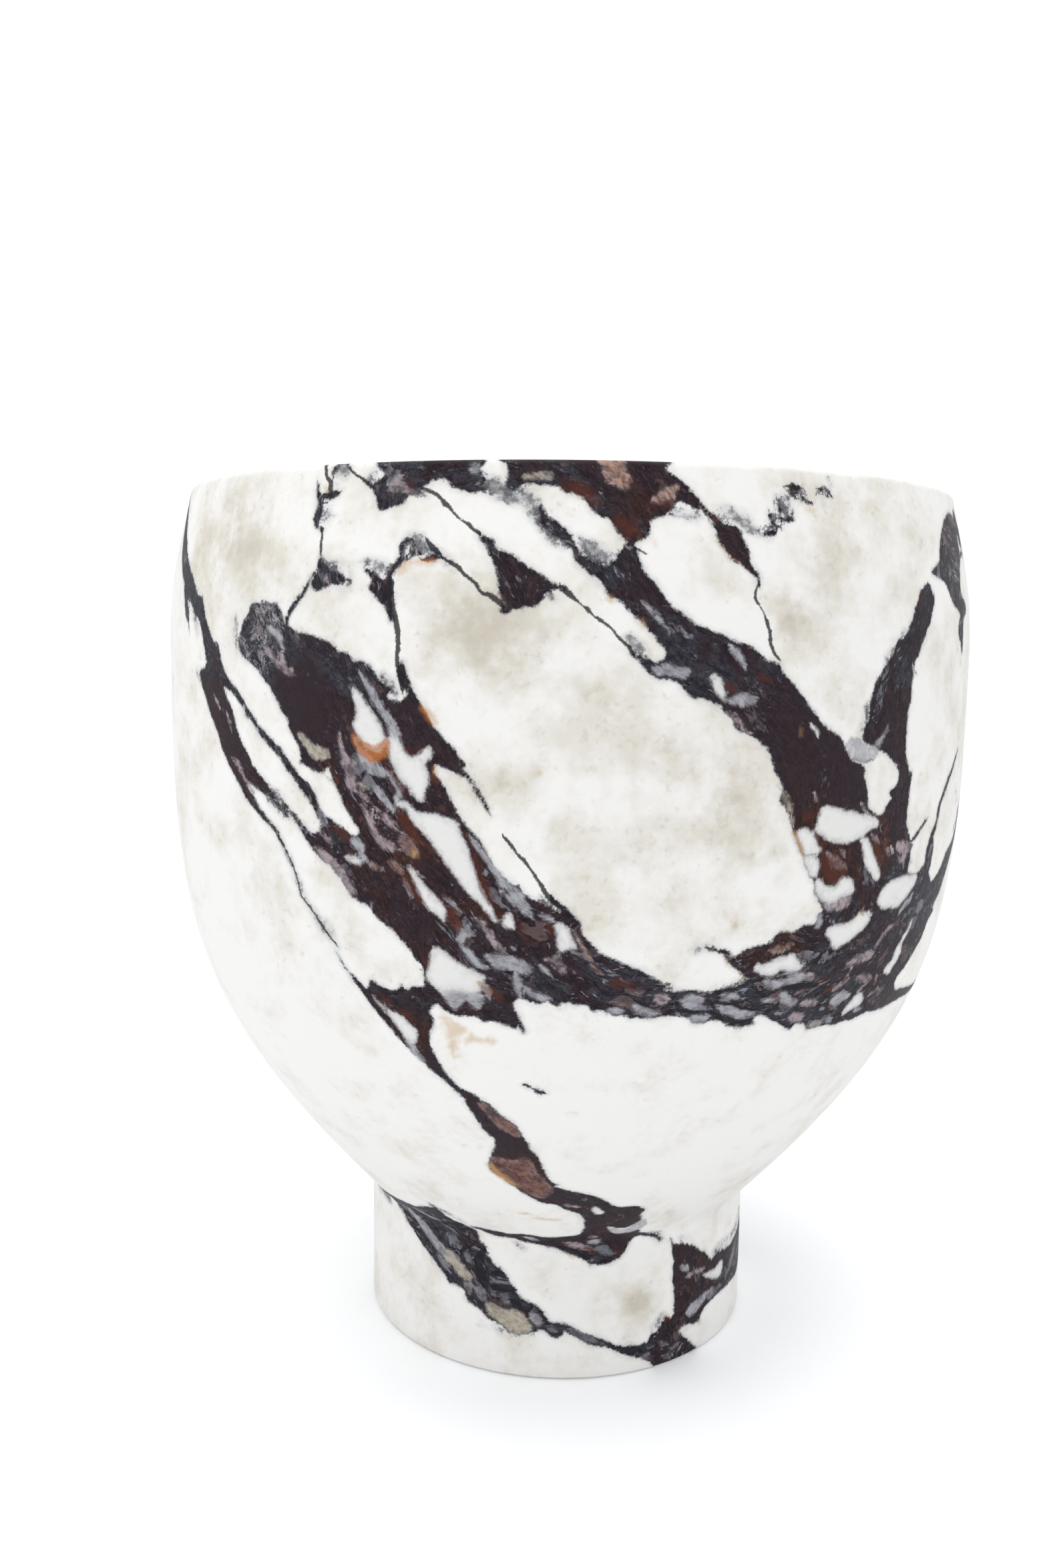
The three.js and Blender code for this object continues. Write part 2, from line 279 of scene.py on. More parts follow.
     (28.7, 192.1), (28.3, 193.8), (27.9, 195.9), (27.5, 197.9), (27, 200), (26.8, 201.7), (26.4, 204), (26, 205.7),
     (25.5, 207), (25, 208), (25, 209.3), (25.2, 211.1), (25.3, 212.9), (24.5, 218), (24, 224), (23, 232)],
    # the branch below the joint, the right edge's dark ground and its lower end
    [(47.2, 214), (47.2, 210), (47.1, 206.6), (46.8, 205.4), (47, 204), (46.9, 201.6), (47, 198.8), (47.6, 196.2),
     (48.2, 193.8), (48.6, 192.4), (49.4, 191), (49, 189.1), (49.1, 186.7), (48.9, 184.7), (48.8, 182.8), (49.6, 181.8),
     (50.9, 181.5), (52.2, 182), (53.3, 183.4), (53.7, 184.9), (53.5, 187), (53.8, 189.5), (54.3, 192), (55.4, 192.4),
     (56.1, 189.3), (56.2, 187), (56.1, 184.8), (56, 182.2), (55.5, 180.5), (56.6, 178.2), (57.4, 176.5),
     (59.3, 177.9), (60.8, 179.7), (61.9, 182), (63.3, 184.5), (66.5, 186.5), (68.2, 189.5), (70.5, 193.5), (71.5, 193),
     (70, 187), (68, 182.8), (66.7, 179.8), (65.4, 176.6), (64.2, 173.6), (63, 170.5), (61.3, 167.8), (60, 165.2),
     (59.3, 161.6), (58.3, 158.5), (57, 155), (52, 150), (44, 155), (40, 165), (40, 185), (42, 204)],
    # the band where both limbs of the left vein run into it
    [(-33.9, 201.9), (-33.8, 200.8), (-33.3, 199.2), (-32.8, 197.4), (-32.2, 195.4), (-31.7, 193.4), (-31, 191.8),
     (-30.4, 190.3), (-29.8, 189.3), (-28.9, 188), (-28, 186.7), (-27.3, 184.9), (-26.6, 183), (-26.1, 181.4),
     (-25.8, 180.4), (-25.2, 178.8), (-24.7, 177.8), (-23.9, 177.1), (-23.3, 176.6), (-22.8, 175.7), (-22.5, 174.4),
     (-21.8, 172.8), (-21.1, 171.6), (-20.5, 170.6), (-19.9, 169.7), (-19.3, 168.4), (-18.6, 166.8), (-18, 164.9),
     (-17.6, 163.2), (-17.3, 161.8), (-16.9, 161.1), (-16.5, 160.2), (-16.5, 158.5), (-16.3, 156.7), (-16.4, 155),
     (-16.4, 153.9), (-16.8, 153.8), (-17.6, 153.8), (-18.4, 153), (-19.1, 152.4), (-19.2, 153.5), (-19.7, 153.4),
     (-20, 152.2), (-20.8, 151.6), (-21.7, 152), (-22.7, 152.8), (-23.3, 154), (-23.8, 153.9), (-24.1, 152),
     (-24.4, 151), (-25, 152), (-25.8, 153.7), (-26.4, 154.8), (-27.2, 156.7), (-27.7, 158.8), (-28.3, 161.1),
     (-28.5, 161.4), (-28, 159), (-27.5, 156.6), (-26.8, 154.7), (-26.3, 152.7), (-25.8, 151), (-25.1, 149),
     (-24.5, 146.9), (-24, 144.8), (-23.4, 142.9), (-22.7, 140.9), (-22.1, 139.2), (-21.5, 137.5), (-20.9, 135.4),
     (-20.2, 133.7), (-19.5, 132), (-18.7, 130.2), (-18, 128.2), (-17.2, 126.4), (-16.6, 125), (-15.8, 123.6),
     (-15.1, 121.8), (-14.4, 120.3), (-13.7, 118.6), (-13, 116.6), (-11, 115.4), (-10.6, 117.2), (-11.4, 118.8),
     (-12.1, 119.8), (-13.2, 121.1), (-13.9, 122.5), (-14.6, 124.4), (-15.2, 126.3), (-15.5, 128.5), (-16, 130.8),
     (-16.3, 133), (-16.6, 135.3), (-16.5, 137.6), (-16.2, 140), (-15.8, 142), (-15.5, 143.9), (-15.8, 145),
     (-16.2, 145.6), (-15.9, 147.1), (-15.6, 148.4), (-15, 148.7), (-14.4, 147.9), (-13.9, 146.7), (-13, 146.1),
     (-12.3, 145.7), (-11.5, 145.9), (-10.6, 145.9), (-10, 145.8), (-9.5, 144.5), (-9, 144.3), (-8.3, 144.9),
     (-7.6, 144.6), (-7, 144.2), (-6.3, 143.6), (-5.7, 142.9), (-5, 143.3), (-4.6, 142), (-4.3, 141.6), (-4.2, 142.4),
     (-4.5, 144.4), (-4.8, 145.8), (-5.1, 147.6), (-5.4, 149), (-5.5, 150.6), (-5.3, 151.7), (-4.9, 152.4),
     (-4.4, 152.4), (-3.7, 151.7), (-2.7, 151.1), (-2.3, 150.7), (-2, 151.7), (-1.4, 151.7), (-0.8, 150.5),
     (-0.1, 150.3), (0.2, 151.3), (1.1, 151.6), (2, 151.1), (2.9, 150.7), (3.5, 150.6), (3.7, 149.4),
     (4.3, 149.6), (6, 150), (12, 155), (12, 158), (6, 165), (4.6, 166.6), (4.2, 167.6), (3.6, 169.2), (3, 170.5),
     (2.4, 172.7),
     (2.2, 174.8), (1.8, 176.5), (1.2, 178), (0.6, 179.6), (0, 181), (-0.6, 181.5), (-1, 181.2), (-0.4, 179.8),
     (-0.3, 178.3), (-1.2, 179.8), (-2.1, 181), (-3.1, 181.7), (-3.8, 182.5), (-4.4, 183.7), (-5.1, 185.4),
     (-6, 186.6), (-6.8, 188.2), (-7.1, 188.8), (-7.3, 189.6), (-7.7, 191.5), (-8.2, 193.5), (-8.7, 195.6),
     (-9.1, 197.5), (-9.8, 199.4), (-10.5, 201.2), (-11.1, 203.1), (-11.5, 204.6), (-11.9, 206.2), (-12.4, 208.4),
     (-12.9, 210.5), (-13.4, 212.4), (-13.9, 214.2), (-14.5, 216.3), (-14.3, 217.8), (-13.7, 217.5), (-13, 216.9),
     (-12.4, 216.3), (-11.9, 215.7), (-11.2, 215.1), (-10.7, 214.2), (-10.3, 212.9), (-9.9, 211.2), (-9.5, 209.7),
     (-9.1, 208.4), (-8.7, 207), (-8.3, 206.4), (-8.2, 207), (-8.6, 208.8), (-9.1, 210.8), (-9.7, 212.8),
     (-10.2, 214.7), (-10.8, 216.7), (-11.4, 218.7), (-12, 221.1), (-13, 224), (-16, 226), (-22, 224), (-26, 218),
     (-27.6, 216), (-28, 214.6), (-27.5, 212.8), (-27.1, 210.5), (-26.6, 208.3), (-25.9, 206.5), (-25.8, 204.5),
     (-25.2, 202.6), (-24.9, 201.1), (-24.3, 199.5), (-23.8, 197.6), (-24.2, 196.7), (-24.9, 196.7), (-25.7, 197.9),
     (-26.7, 199.2), (-27.5, 200.5), (-28.1, 200.7), (-29, 202.5), (-29.5, 204.1), (-29.8, 206), (-30.1, 207.6),
     (-31, 209.6), (-31.9, 210.8), (-32.7, 209.4), (-32.2, 208.2), (-31.7, 207), (-31, 205.4), (-30.5, 204.2),
     (-30, 202.6), (-29.8, 201), (-29.4, 199.4), (-29.2, 198), (-29.3, 196.9), (-29.9, 196.1), (-30.5, 195.8),
     (-31.1, 196.4), (-31.8, 197.8), (-32.3, 199), (-33, 200.2)],
    # the level band's right half, up to the dark ground, and the brown tongue above it
    [(2.3, 171.8), (2.8, 170.7), (3.5, 168.9), (4.3, 167.4), (4.7, 166.2), (5.4, 165.3), (6.2, 164.2), (6.8, 163),
     (7.2, 162.4), (7.8, 161.5), (8.6, 160.5), (9.4, 159.5), (10.2, 158.5), (10.7, 157.5), (11.4, 156.1), (12, 155.2),
     (12.9, 155.2), (13.5, 154.9), (14.3, 155.2), (15.1, 155), (16, 155), (16.8, 154.4), (17.4, 154.2), (18.3, 153.7),
     (18.9, 154.4), (19.9, 154.7), (20.9, 155), (21.7, 155.2), (22.4, 156), (22.8, 157.2), (25, 157), (30, 158),
     (36, 166), (45, 170), (55, 168), (61.3, 165.7), (60.3, 163.5), (59.5, 161.7), (59, 159.5), (58.5, 157),
     (57.5, 155), (56.8, 153.5), (55.8, 151.4), (54.9, 149.3), (53.8, 147.9), (53.1, 146.9), (52.7, 145.3),
     (52.9, 143.6), (53.9, 141.8), (55.2, 140.9), (56.2, 140.9), (58.5, 139.9), (61.4, 138.9), (65.9, 137.3),
     (69, 137), (65.7, 135.2), (62.2, 135.4), (59.1, 136), (56.6, 136.4), (54.5, 136.5), (53, 136.4), (51, 136.3),
     (48.6, 136.9), (46.8, 137.3), (45.4, 137.2), (44, 136.8), (42.7, 136.6), (41.7, 136.8), (40.4, 136.5),
     (39.2, 136.4), (37.7, 137.2), (36.3, 137.2), (35, 137.1), (34.3, 137), (33.8, 138.2), (33.1, 139.7), (31.8, 140),
     (31.5, 138.9), (31, 138.4), (30.1, 139.5), (29.1, 141), (27.9, 142.1), (27, 143.5), (26.1, 144.5), (25.3, 144.8),
     (24.7, 143.9), (25.2, 142.6), (25, 141.8), (24, 141.7), (23, 141.1), (22.1, 141.8), (21.2, 142.7), (20.4, 144),
     (19.5, 145), (18.6, 144.4), (17.7, 144), (16.9, 143.9), (16.2, 145), (15.6, 146.3), (14.9, 146.8), (14, 147),
     (13.2, 147.2), (12.6, 147), (12, 146.7), (11.4, 146.4), (10.6, 146.6), (9.7, 146.9), (8.8, 146.6), (8.2, 146.9),
     (7.6, 147.8), (7, 147.4), (6.4, 148), (5.6, 148.4), (5.2, 148.9), (4.7, 149.4), (4.3, 149.1), (3.8, 149),
     (3.5, 150.1), (3.1, 150.8), (0, 153), (0, 165)],
    [(20.9, 163.4), (21.2, 164.9), (22.1, 166.4), (23.2, 166.9), (24.3, 167.3), (25.3, 167.5), (25.8, 168.9),
     (26.3, 170), (27, 169), (31, 168), (31, 160), (28, 157), (25, 156.4), (23.6, 157.8), (22.4, 159.8), (21.6, 161.6)],
    # the lower vein, from the end of the left strand down to the junction and the patch that crosses it
    [(-17, 126.7), (-16, 124.6), (-15.2, 122.5), (-14.4, 120.2), (-13.6, 118.5), (-13.1, 116.6), (-12.9, 114.1),
     (-12.3, 111.5), (-11.9, 108.9), (-11.4, 106.2), (-10.7, 104.1), (-10, 102.5), (-9.7, 100.8), (-10.1, 97.2),
     (-10.8, 94.2), (-11.5, 91.1), (-11.8, 88.1), (-11, 86), (-9.9, 84.5), (-8.9, 82.3), (-7.8, 80.2), (-6.7, 77.8),
     (-5.4, 76.1), (-4, 74.2), (-2.1, 72.4), (0, 71.8), (1.3, 70.3), (3.1, 68.5), (4.7, 67.2), (5.7, 65.8), (6.3, 63.4),
     (6.7, 60), (6.6, 58.4), (6.1, 55.6), (4.7, 54.2), (2.7, 53.8), (2, 50), (6, 46), (14, 48), (20, 54), (16.1, 54.1),
     (14.4, 55.2), (13.2, 57), (12.4, 59), (14.6, 57.8), (17.1, 57.2), (18.8, 58.6), (20.2, 60.3), (20, 62.6),
     (19.2, 64.6), (19.6, 66.2), (19.5, 67.5), (17.7, 69.3), (16, 70), (14.2, 69.9), (12.7, 70.4), (11.4, 71.6),
     (10.2, 73.5), (9, 75.2), (7.6, 76.5), (6, 77.5), (4.4, 78.5), (3.3, 79.1), (2.2, 79.7), (0.9, 80.7), (-0.5, 81.6),
     (0.4, 82.5), (-0.8, 83.6), (-1.5, 86.5), (-2.2, 89.4), (-2.6, 92.3), (-3.2, 95.7), (-3.8, 97.9), (-4.4, 99.6),
     (-4.1, 101.2), (-4.6, 101.4), (-5.1, 103.6), (-5.6, 106.4), (-6.3, 109.1), (-7.2, 110.7), (-8.3, 112.6),
     (-8.9, 114.6), (-9.6, 116), (-10.4, 116.8), (-11.5, 116.8), (-11.8, 118), (-12.5, 119.3), (-13.2, 120),
     (-13.6, 121.4), (-14.3, 122.6), (-14.9, 124.9), (-15.5, 127)],
    # the dark line in the hollow between bowl and foot, and the patch's lower half
    [(-17.2, 53.9), (-14.8, 53.6), (-12.5, 53.4), (-10.3, 53.4), (-8, 53.7), (-5.9, 53.5), (-3.5, 53.1), (-1.2, 53),
     (0.4, 53.3), (2.7, 53.8), (4.7, 54.2), (6.1, 55.6), (9, 60), (13, 57), (14.4, 55.2), (16.1, 54.1), (17.9, 53.9),
     (19.9, 54.4), (21.8, 55), (22.4, 53.5), (24, 52.3), (25.8, 51.1), (28, 50.3), (29.9, 48.6), (30.6, 47),
     (30.4, 46.2), (29.2, 47.8), (27.3, 48.9), (25.2, 49.9), (23.8, 50.6), (21.9, 50.3), (20.8, 49.1), (20.3, 46.6),
     (19.6, 45.1), (18.4, 43.8), (17.5, 42.9), (15.9, 41.9), (13.9, 41.1), (11.5, 41.2), (9.5, 41.4), (8.5, 42.7),
     (7.1, 43.8), (5.1, 44.7), (3.2, 45.7), (1.2, 47), (-1.2, 47.9), (-3.9, 48.5), (-6, 49), (-7.7, 49.2), (-9.5, 49.9),
     (-11, 50.6), (-13.3, 50.5), (-15.2, 50.4), (-17.2, 51), (-18.8, 51.8), (-20.4, 52.7), (-22, 52.9), (-22.4, 54)],
    # the broad fan down the foot's left
    [(-60, 51.5), (-51.9, 49.2), (-49.7, 46.7), (-47.4, 44.3), (-45.1, 42.3), (-43.1, 40.2), (-41.1, 38.7),
     (-39.4, 37.4), (-37.8, 36), (-36.2, 34.5), (-34.7, 32.9), (-33.2, 31.5), (-32, 30), (-31.4, 28.8), (-29.5, 28.8),
     (-27.7, 28.3), (-26.1, 27.4), (-25.7, 25.8), (-25.1, 24.6), (-23.8, 23.7), (-22.2, 23), (-20.9, 22.2), (-20, 20.7),
     (-18.8, 19.8), (-17.6, 19), (-16, 18.6), (-14.5, 17.9), (-13.5, 16.8), (-12.2, 15.9), (-10, 15.6), (-7.3, 16),
     (-4.7, 17.6), (-2.9, 17.9), (-1.7, 16.5), (-0.6, 15.5), (0.5, 15.2), (2, 16), (2.8, 17.8), (4.7, 16.5), (6.8, 14.9),
     (8.8, 13.6), (10.8, 12.3), (13, 11.4), (14.3, 11.4), (15.9, 10.4), (18, 9), (20.8, 7.1), (22.8, 6.1), (25.3, 4.9),
     (27, 3.9), (29, 6), (27, 10.3), (25, 10.3), (22.2, 10.6), (19.5, 11), (17.4, 11.6), (15.3, 13.1), (13.2, 14.7),
     (10.6, 16), (8.1, 17), (6.2, 18.1), (4.7, 19.7), (2.7, 20.9), (0.7, 20.9), (-0.7, 20.9), (-1.8, 22.3), (-2.9, 24.4),
     (-4.4, 26.4), (-5.9, 27.5), (-7.8, 28.2), (-9.3, 29.6), (-10.6, 31.3), (-11.6, 33.2), (-12.7, 34.9), (-13.5, 36.7),
     (-15, 38), (-16.6, 39.2), (-17.6, 40.4), (-18.4, 42.3), (-19.5, 44.5), (-20.9, 46.5), (-21.5, 48.3), (-21.4, 50.7),
     (-21.9, 51.9), (-22.9, 52.7), (-24.9, 54), (-27, 55), (-28.8, 56.8), (-29.5, 59), (-31, 60), (-36, 57.5),
     (-40, 55.5), (-44, 55), (-49.7, 54.4), (-58, 53)],
    # the brown patch on the foot's right, its arm to the edge and its foot on the floor
    [(34, 46.4), (35.5, 44.3), (38.2, 43), (41.8, 41.7), (43.3, 40.5), (45.7, 38.2), (48.2, 36), (50.6, 33.3),
     (52, 31.6), (53.5, 32.3), (56.1, 32.6), (59.6, 31.6), (64.3, 30.8), (69, 31.4), (74, 33), (80, 35), (82, 26),
     (79, 17), (75, 14.8), (69, 15.3), (63.7, 16), (58.2, 16.3), (53.7, 15.9), (50.4, 15.2), (47.8, 13.7), (47.1, 11.3),
     (44.8, 10.7), (42.1, 11.6), (40, 11.9), (38.2, 10.9), (39.3, 9.2), (41.5, 6.5), (43.8, 3.8), (45.1, 1.8), (46, -2),
     (29.3, -2), (29.3, 0.7), (28.4, 1.9), (27.6, 3.4), (24.5, 5.8), (24.5, 10), (27, 10.3), (27.5, 11.6), (28.4, 13),
     (29.8, 13.6), (31, 14.9), (31.9, 16.2), (32.6, 17.4), (33.6, 18.2), (34.6, 17), (35.6, 17.4), (36, 18.7), (36, 22),
     (35.9, 25.4), (35.4, 28.8), (35.1, 32.2), (35.1, 34.8), (35.3, 37.9), (34.5, 42.7)],
]

DARK_STROKES = [
    [(-20.3, 267.5, 1), (-19.9, 270.5, 1), (-19, 272.6, 1.3), (-18.7, 274.5, 0.9), (-18.9, 276.6, 0.9),
     (-18.7, 277.8, 0.6), (-18, 278.2, 0.4)],
    [(-17.9, 273.4, 0.5), (-17.4, 275.2, 0.5)],
    [(-15.9, 273.3, 0.9), (-14.8, 273.7, 1)],
    [(-3.1, 286.3, 0.6), (-2.7, 283.5, 1.1), (-1.6, 282, 1.8), (-0.6, 280, 1.8), (0.2, 278, 1.2), (0.7, 276.3, 0.8),
     (1.1, 274, 1.2), (2, 272.3, 1.6), (3, 271, 2)],
    [(-34.3, 254.5, 0.8), (-34.2, 257, 0.8), (-33.2, 260.6, 1), (-32.3, 262.5, 0.7), (-31.6, 264.6, 0.6),
     (-31.2, 266.8, 0.7), (-30.5, 269.4, 0.5)],
    [(-31.7, 294.2, 0.4), (-31.4, 291.9, 0.8), (-31, 289.5, 0.8), (-30.9, 286.5, 1.2), (-31.1, 284.4, 1.4),
     (-30.9, 282.6, 0.6), (-30.2, 281.6, 0.4)],
    [(-29.5, 296.8, 0.4), (-29.3, 299, 0.8), (-28.9, 300.3, 0.6)],
    [(20, 274, 1.1), (20.4, 272.5, 1.1), (21, 271, 0.8), (21.5, 269.7, 0.5), (21.7, 267.9, 0.4)],
    [(22.9, 281.6, 0.5), (23.9, 282, 0.8)],
    [(23.5, 287, 0.3), (23.9, 284.6, 0.6), (24.7, 283.4, 0.3)],
    [(25.4, 285.6, 0.4), (26.4, 285.6, 0.8), (26.6, 287.2, 0.4)],
    [(24.8, 291, 0.3), (25.1, 289.4, 0.4), (25, 287.5, 0.3)],
    [(26.5, 294.7, 0.5), (27.4, 294.4, 0.9), (28.3, 294.5, 0.4)],
    [(26.6, 293.4, 0.3), (27.2, 292.2, 0.5)],
    [(28.5, 291.7, 0.3), (29.4, 290.6, 0.5)],
    [(31.1, 294.5, 0.4), (31.7, 293.8, 0.3)],
    [(32, 295, 0.3), (32.7, 293.4, 0.6)],
    [(-58.8, 262, 1.6), (-58.6, 260.3, 1.6), (-57.8, 257, 1.1), (-57.4, 254, 0.5), (-57.2, 252, 0.2)],
    [(46.5, 244.4, 0.3), (46.9, 243.4, 0.2)],
    [(64, 217.5, 0.4), (62.6, 214.7, 0.7), (61.3, 211.5, 0.8), (59.3, 207.9, 0.8), (57.9, 204.7, 0.9), (57.2, 202.3, 0.8)],
    [(35.6, 219.4, 0.5), (37.6, 218.4, 0.5), (38.9, 218.8, 0.3)],
    [(48.7, 192.2, 0.6), (49.6, 193, 0.6), (50.9, 195.3, 0.6), (51.8, 196.8, 0.6), (52.6, 197.8, 0.6)],
    [(59.7, 209.3, 0.8), (58.4, 205.6, 0.9), (57.4, 203, 0.9), (56.6, 200.9, 0.9), (56.5, 198.4, 1.1), (56.3, 196.3, 0.9),
     (55.8, 194.2, 1.3), (55, 191.8, 1.5), (54.9, 189.3, 1.6), (54.9, 186.4, 2), (54.6, 183.5, 2.6), (54.5, 181, 3)],
    [(32.1, 177.8, 0.4), (32.9, 176.2, 0.4), (33.8, 175.3, 0.5), (34.5, 174.9, 0.4)],
    [(71.6, 195, 0.5), (70.5, 191, 1), (68.5, 187, 1.6)],
    [(-36.8, 205.2, 0.4), (-36.5, 205, 0.4)],
    [(-36.5, 203.4, 0.5), (-36, 202.9, 0.4)],
    [(-34.7, 202.8, 0.5), (-34.4, 202.3, 0.4)],
    [(-35.7, 201.7, 0.3), (-35.1, 200.8, 0.4), (-34.6, 200, 0.3)],
    [(-8.5, 206.6, 0.4), (-8.2, 205.6, 0.3)],
    [(-6.8, 188.2, 0.3), (-6, 185.8, 0.4), (-5.3, 183.6, 0.5)],
    [(-5, 185.2, 0.5), (-4.7, 184.6, 0.4)],
    [(-1, 182, 0.7), (-0.7, 181.2, 0.9)],
    [(17.3, 167.2, 0.5), (18.3, 166.5, 0.5), (19.4, 165.7, 0.8), (19.9, 164.5, 1.1), (20.6, 162.8, 1.2), (21.6, 161.2, 1.2),
     (22.6, 159.2, 1.3), (23.8, 157.5, 1.3), (24.8, 156.5, 1), (25.9, 156.3, 0.7), (26.9, 156.6, 0.5), (28, 156.8, 0.4)],
    [(11.9, 157.2, 0.4), (12.7, 156.8, 0.4)],
    [(-72, 297, 1.5), (-67, 284, 3), (-62, 273, 3.5), (-57, 265, 3.2), (-54, 259, 2.6)],
    [(-60, 266, 1.8), (-58.5, 257, 1)],
    [(-4.3, 124, 0.4), (-4, 123.5, 0.4)],
    [(-3.1, 122.3, 0.4), (-2.6, 121.7, 0.9), (-2.1, 121.5, 0.5)],
    [(-31, 291.6, 0.5), (-30.2, 291, 1), (-29.2, 291, 1.1), (-28.3, 291.6, 0.6)],
]

# Veins and hairlines round the back, carried on from those in front; they are grown at random
# along these few points
BACK_VEINS = [
    [(-152, 301, 7), (-145, 278, 10), (-134, 254, 13), (-122, 230, 9), (-110, 207, 12), (-100, 183, 9), (-91, 160, 6),
     (-84, 140, 3), (-78, 122, 1)],
    [(-136, 248, 6), (-150, 226, 8), (-166, 206, 11), (-182, 184, 8), (-196, 160, 10), (-210, 138, 7), (-226, 122, 9),
     (-244, 116, 8), (-262, 122, 8), (-275, 130, 6), (-284, 134, 3), (-291, 137, 1.2)],
    [(114, 120, 6), (109, 146, 7), (115, 172, 10), (125, 198, 7), (134, 224, 10), (145, 250, 13), (153, 276, 10), (160, 301, 8)],
    [(113, 178, 5), (103, 202, 6), (96, 228, 4), (89, 254, 6), (78, 276, 5), (66, 289, 4)],
    [(69, 190, 1.6), (76, 206, 2.6), (84, 222, 2), (93, 238, 1.4)],
    [(-93, 160, 6), (-98, 136, 5), (-112, 112, 8), (-126, 91, 6), (-135, 73, 4), (-145, 57, 5), (-154, 38, 8),
     (-161, 16, 6), (-164, 0, 7)],
    [(-57, 53, 3), (-70, 58, 3.4), (-86, 69, 3), (-101, 86, 4), (-112, 108, 4)],
    [(78, 26, 7), (93, 30, 7), (110, 22, 9), (128, 28, 6), (146, 22, 8), (163, 12, 5), (174, 0, 4)],
]
BACK_HAIRS = [
    [(84, 270, 0.6), (92, 250, 0.5), (104, 228, 0.6), (118, 212, 0.4)],
    [(-170, 300, 0.7), (-176, 272, 0.5), (-187, 244, 0.6), (-194, 214, 0.5), (-206, 190, 0.6)],
    [(-86, 176, 0.5), (-80, 150, 0.6), (-90, 118, 0.5), (-104, 94, 0.4)],
    [(150, 118, 0.6), (143, 96, 0.5), (134, 72, 0.5), (128, 48, 0.4)],
    [(-152, 222, 0.5), (-140, 200, 0.6), (-132, 172, 0.5), (-136, 140, 0.5), (-150, 112, 0.4)],
    [(176, 190, 0.5), (168, 214, 0.5), (171, 240, 0.4)],
    [(-176, 160, 0.4), (-186, 134, 0.5), (-178, 104, 0.4)],
]

# Threads that cross the fragments
THREADS = [
    [(14.2, 149.2, 0.4), (15.4, 148.4, 0.5), (16.7, 147.7, 0.5), (18, 147.9, 0.4), (19.3, 147, 0.5), (20.2, 145.7, 0.4)],
    [(9.1, 152.2, 0.4), (10, 150.9, 0.5), (10.6, 150.4, 0.4)],
    [(19, 150.4, 0.4), (20.2, 150, 0.5), (21.6, 149.4, 0.5), (22.5, 148.3, 0.6), (23.5, 147.4, 0.5), (24.5, 146.9, 0.4),
     (25, 147.3, 0.4), (26, 148.2, 0.4), (27.2, 147.9, 0.4)],
    [(18.5, 147.6, 0.8), (19.3, 146.5, 0.8), (20.2, 145, 0.7)],
    [(21.4, 142.9, 0.5), (22.6, 143.6, 0.6), (23.7, 143.6, 0.6), (24.7, 143.9, 0.4)],
    [(24.8, 152.2, 0.8), (25.7, 151, 0.8)],
    [(28.6, 152.8, 0.8), (30.4, 152.6, 1), (32.4, 152.4, 1), (33.8, 152, 0.7)],
    [(0.8, 76.6, 0.5), (3.2, 74.6, 0.8), (5.6, 73.4, 0.8), (8, 72.4, 0.9), (10, 71.8, 0.8)],
    [(4, 47.4, 0.4), (6.4, 45.9, 0.6), (8.8, 43.8, 0.7)],
    [(-20, 44, 1), (-21.6, 40.4, 1.6), (-21.4, 36.4, 1.8), (-19.6, 32, 1.8)],
    [(-16.8, 36.6, 1), (-15, 36.4, 1.2), (-13.9, 35.8, 0.8)],
    [(-17, 31.4, 1.2), (-14, 31.8, 1.5), (-11.8, 31.6, 1.2)],
    [(-11.8, 27.4, 0.9), (-10, 26.6, 1.1), (-9.2, 25.8, 0.7)],
]

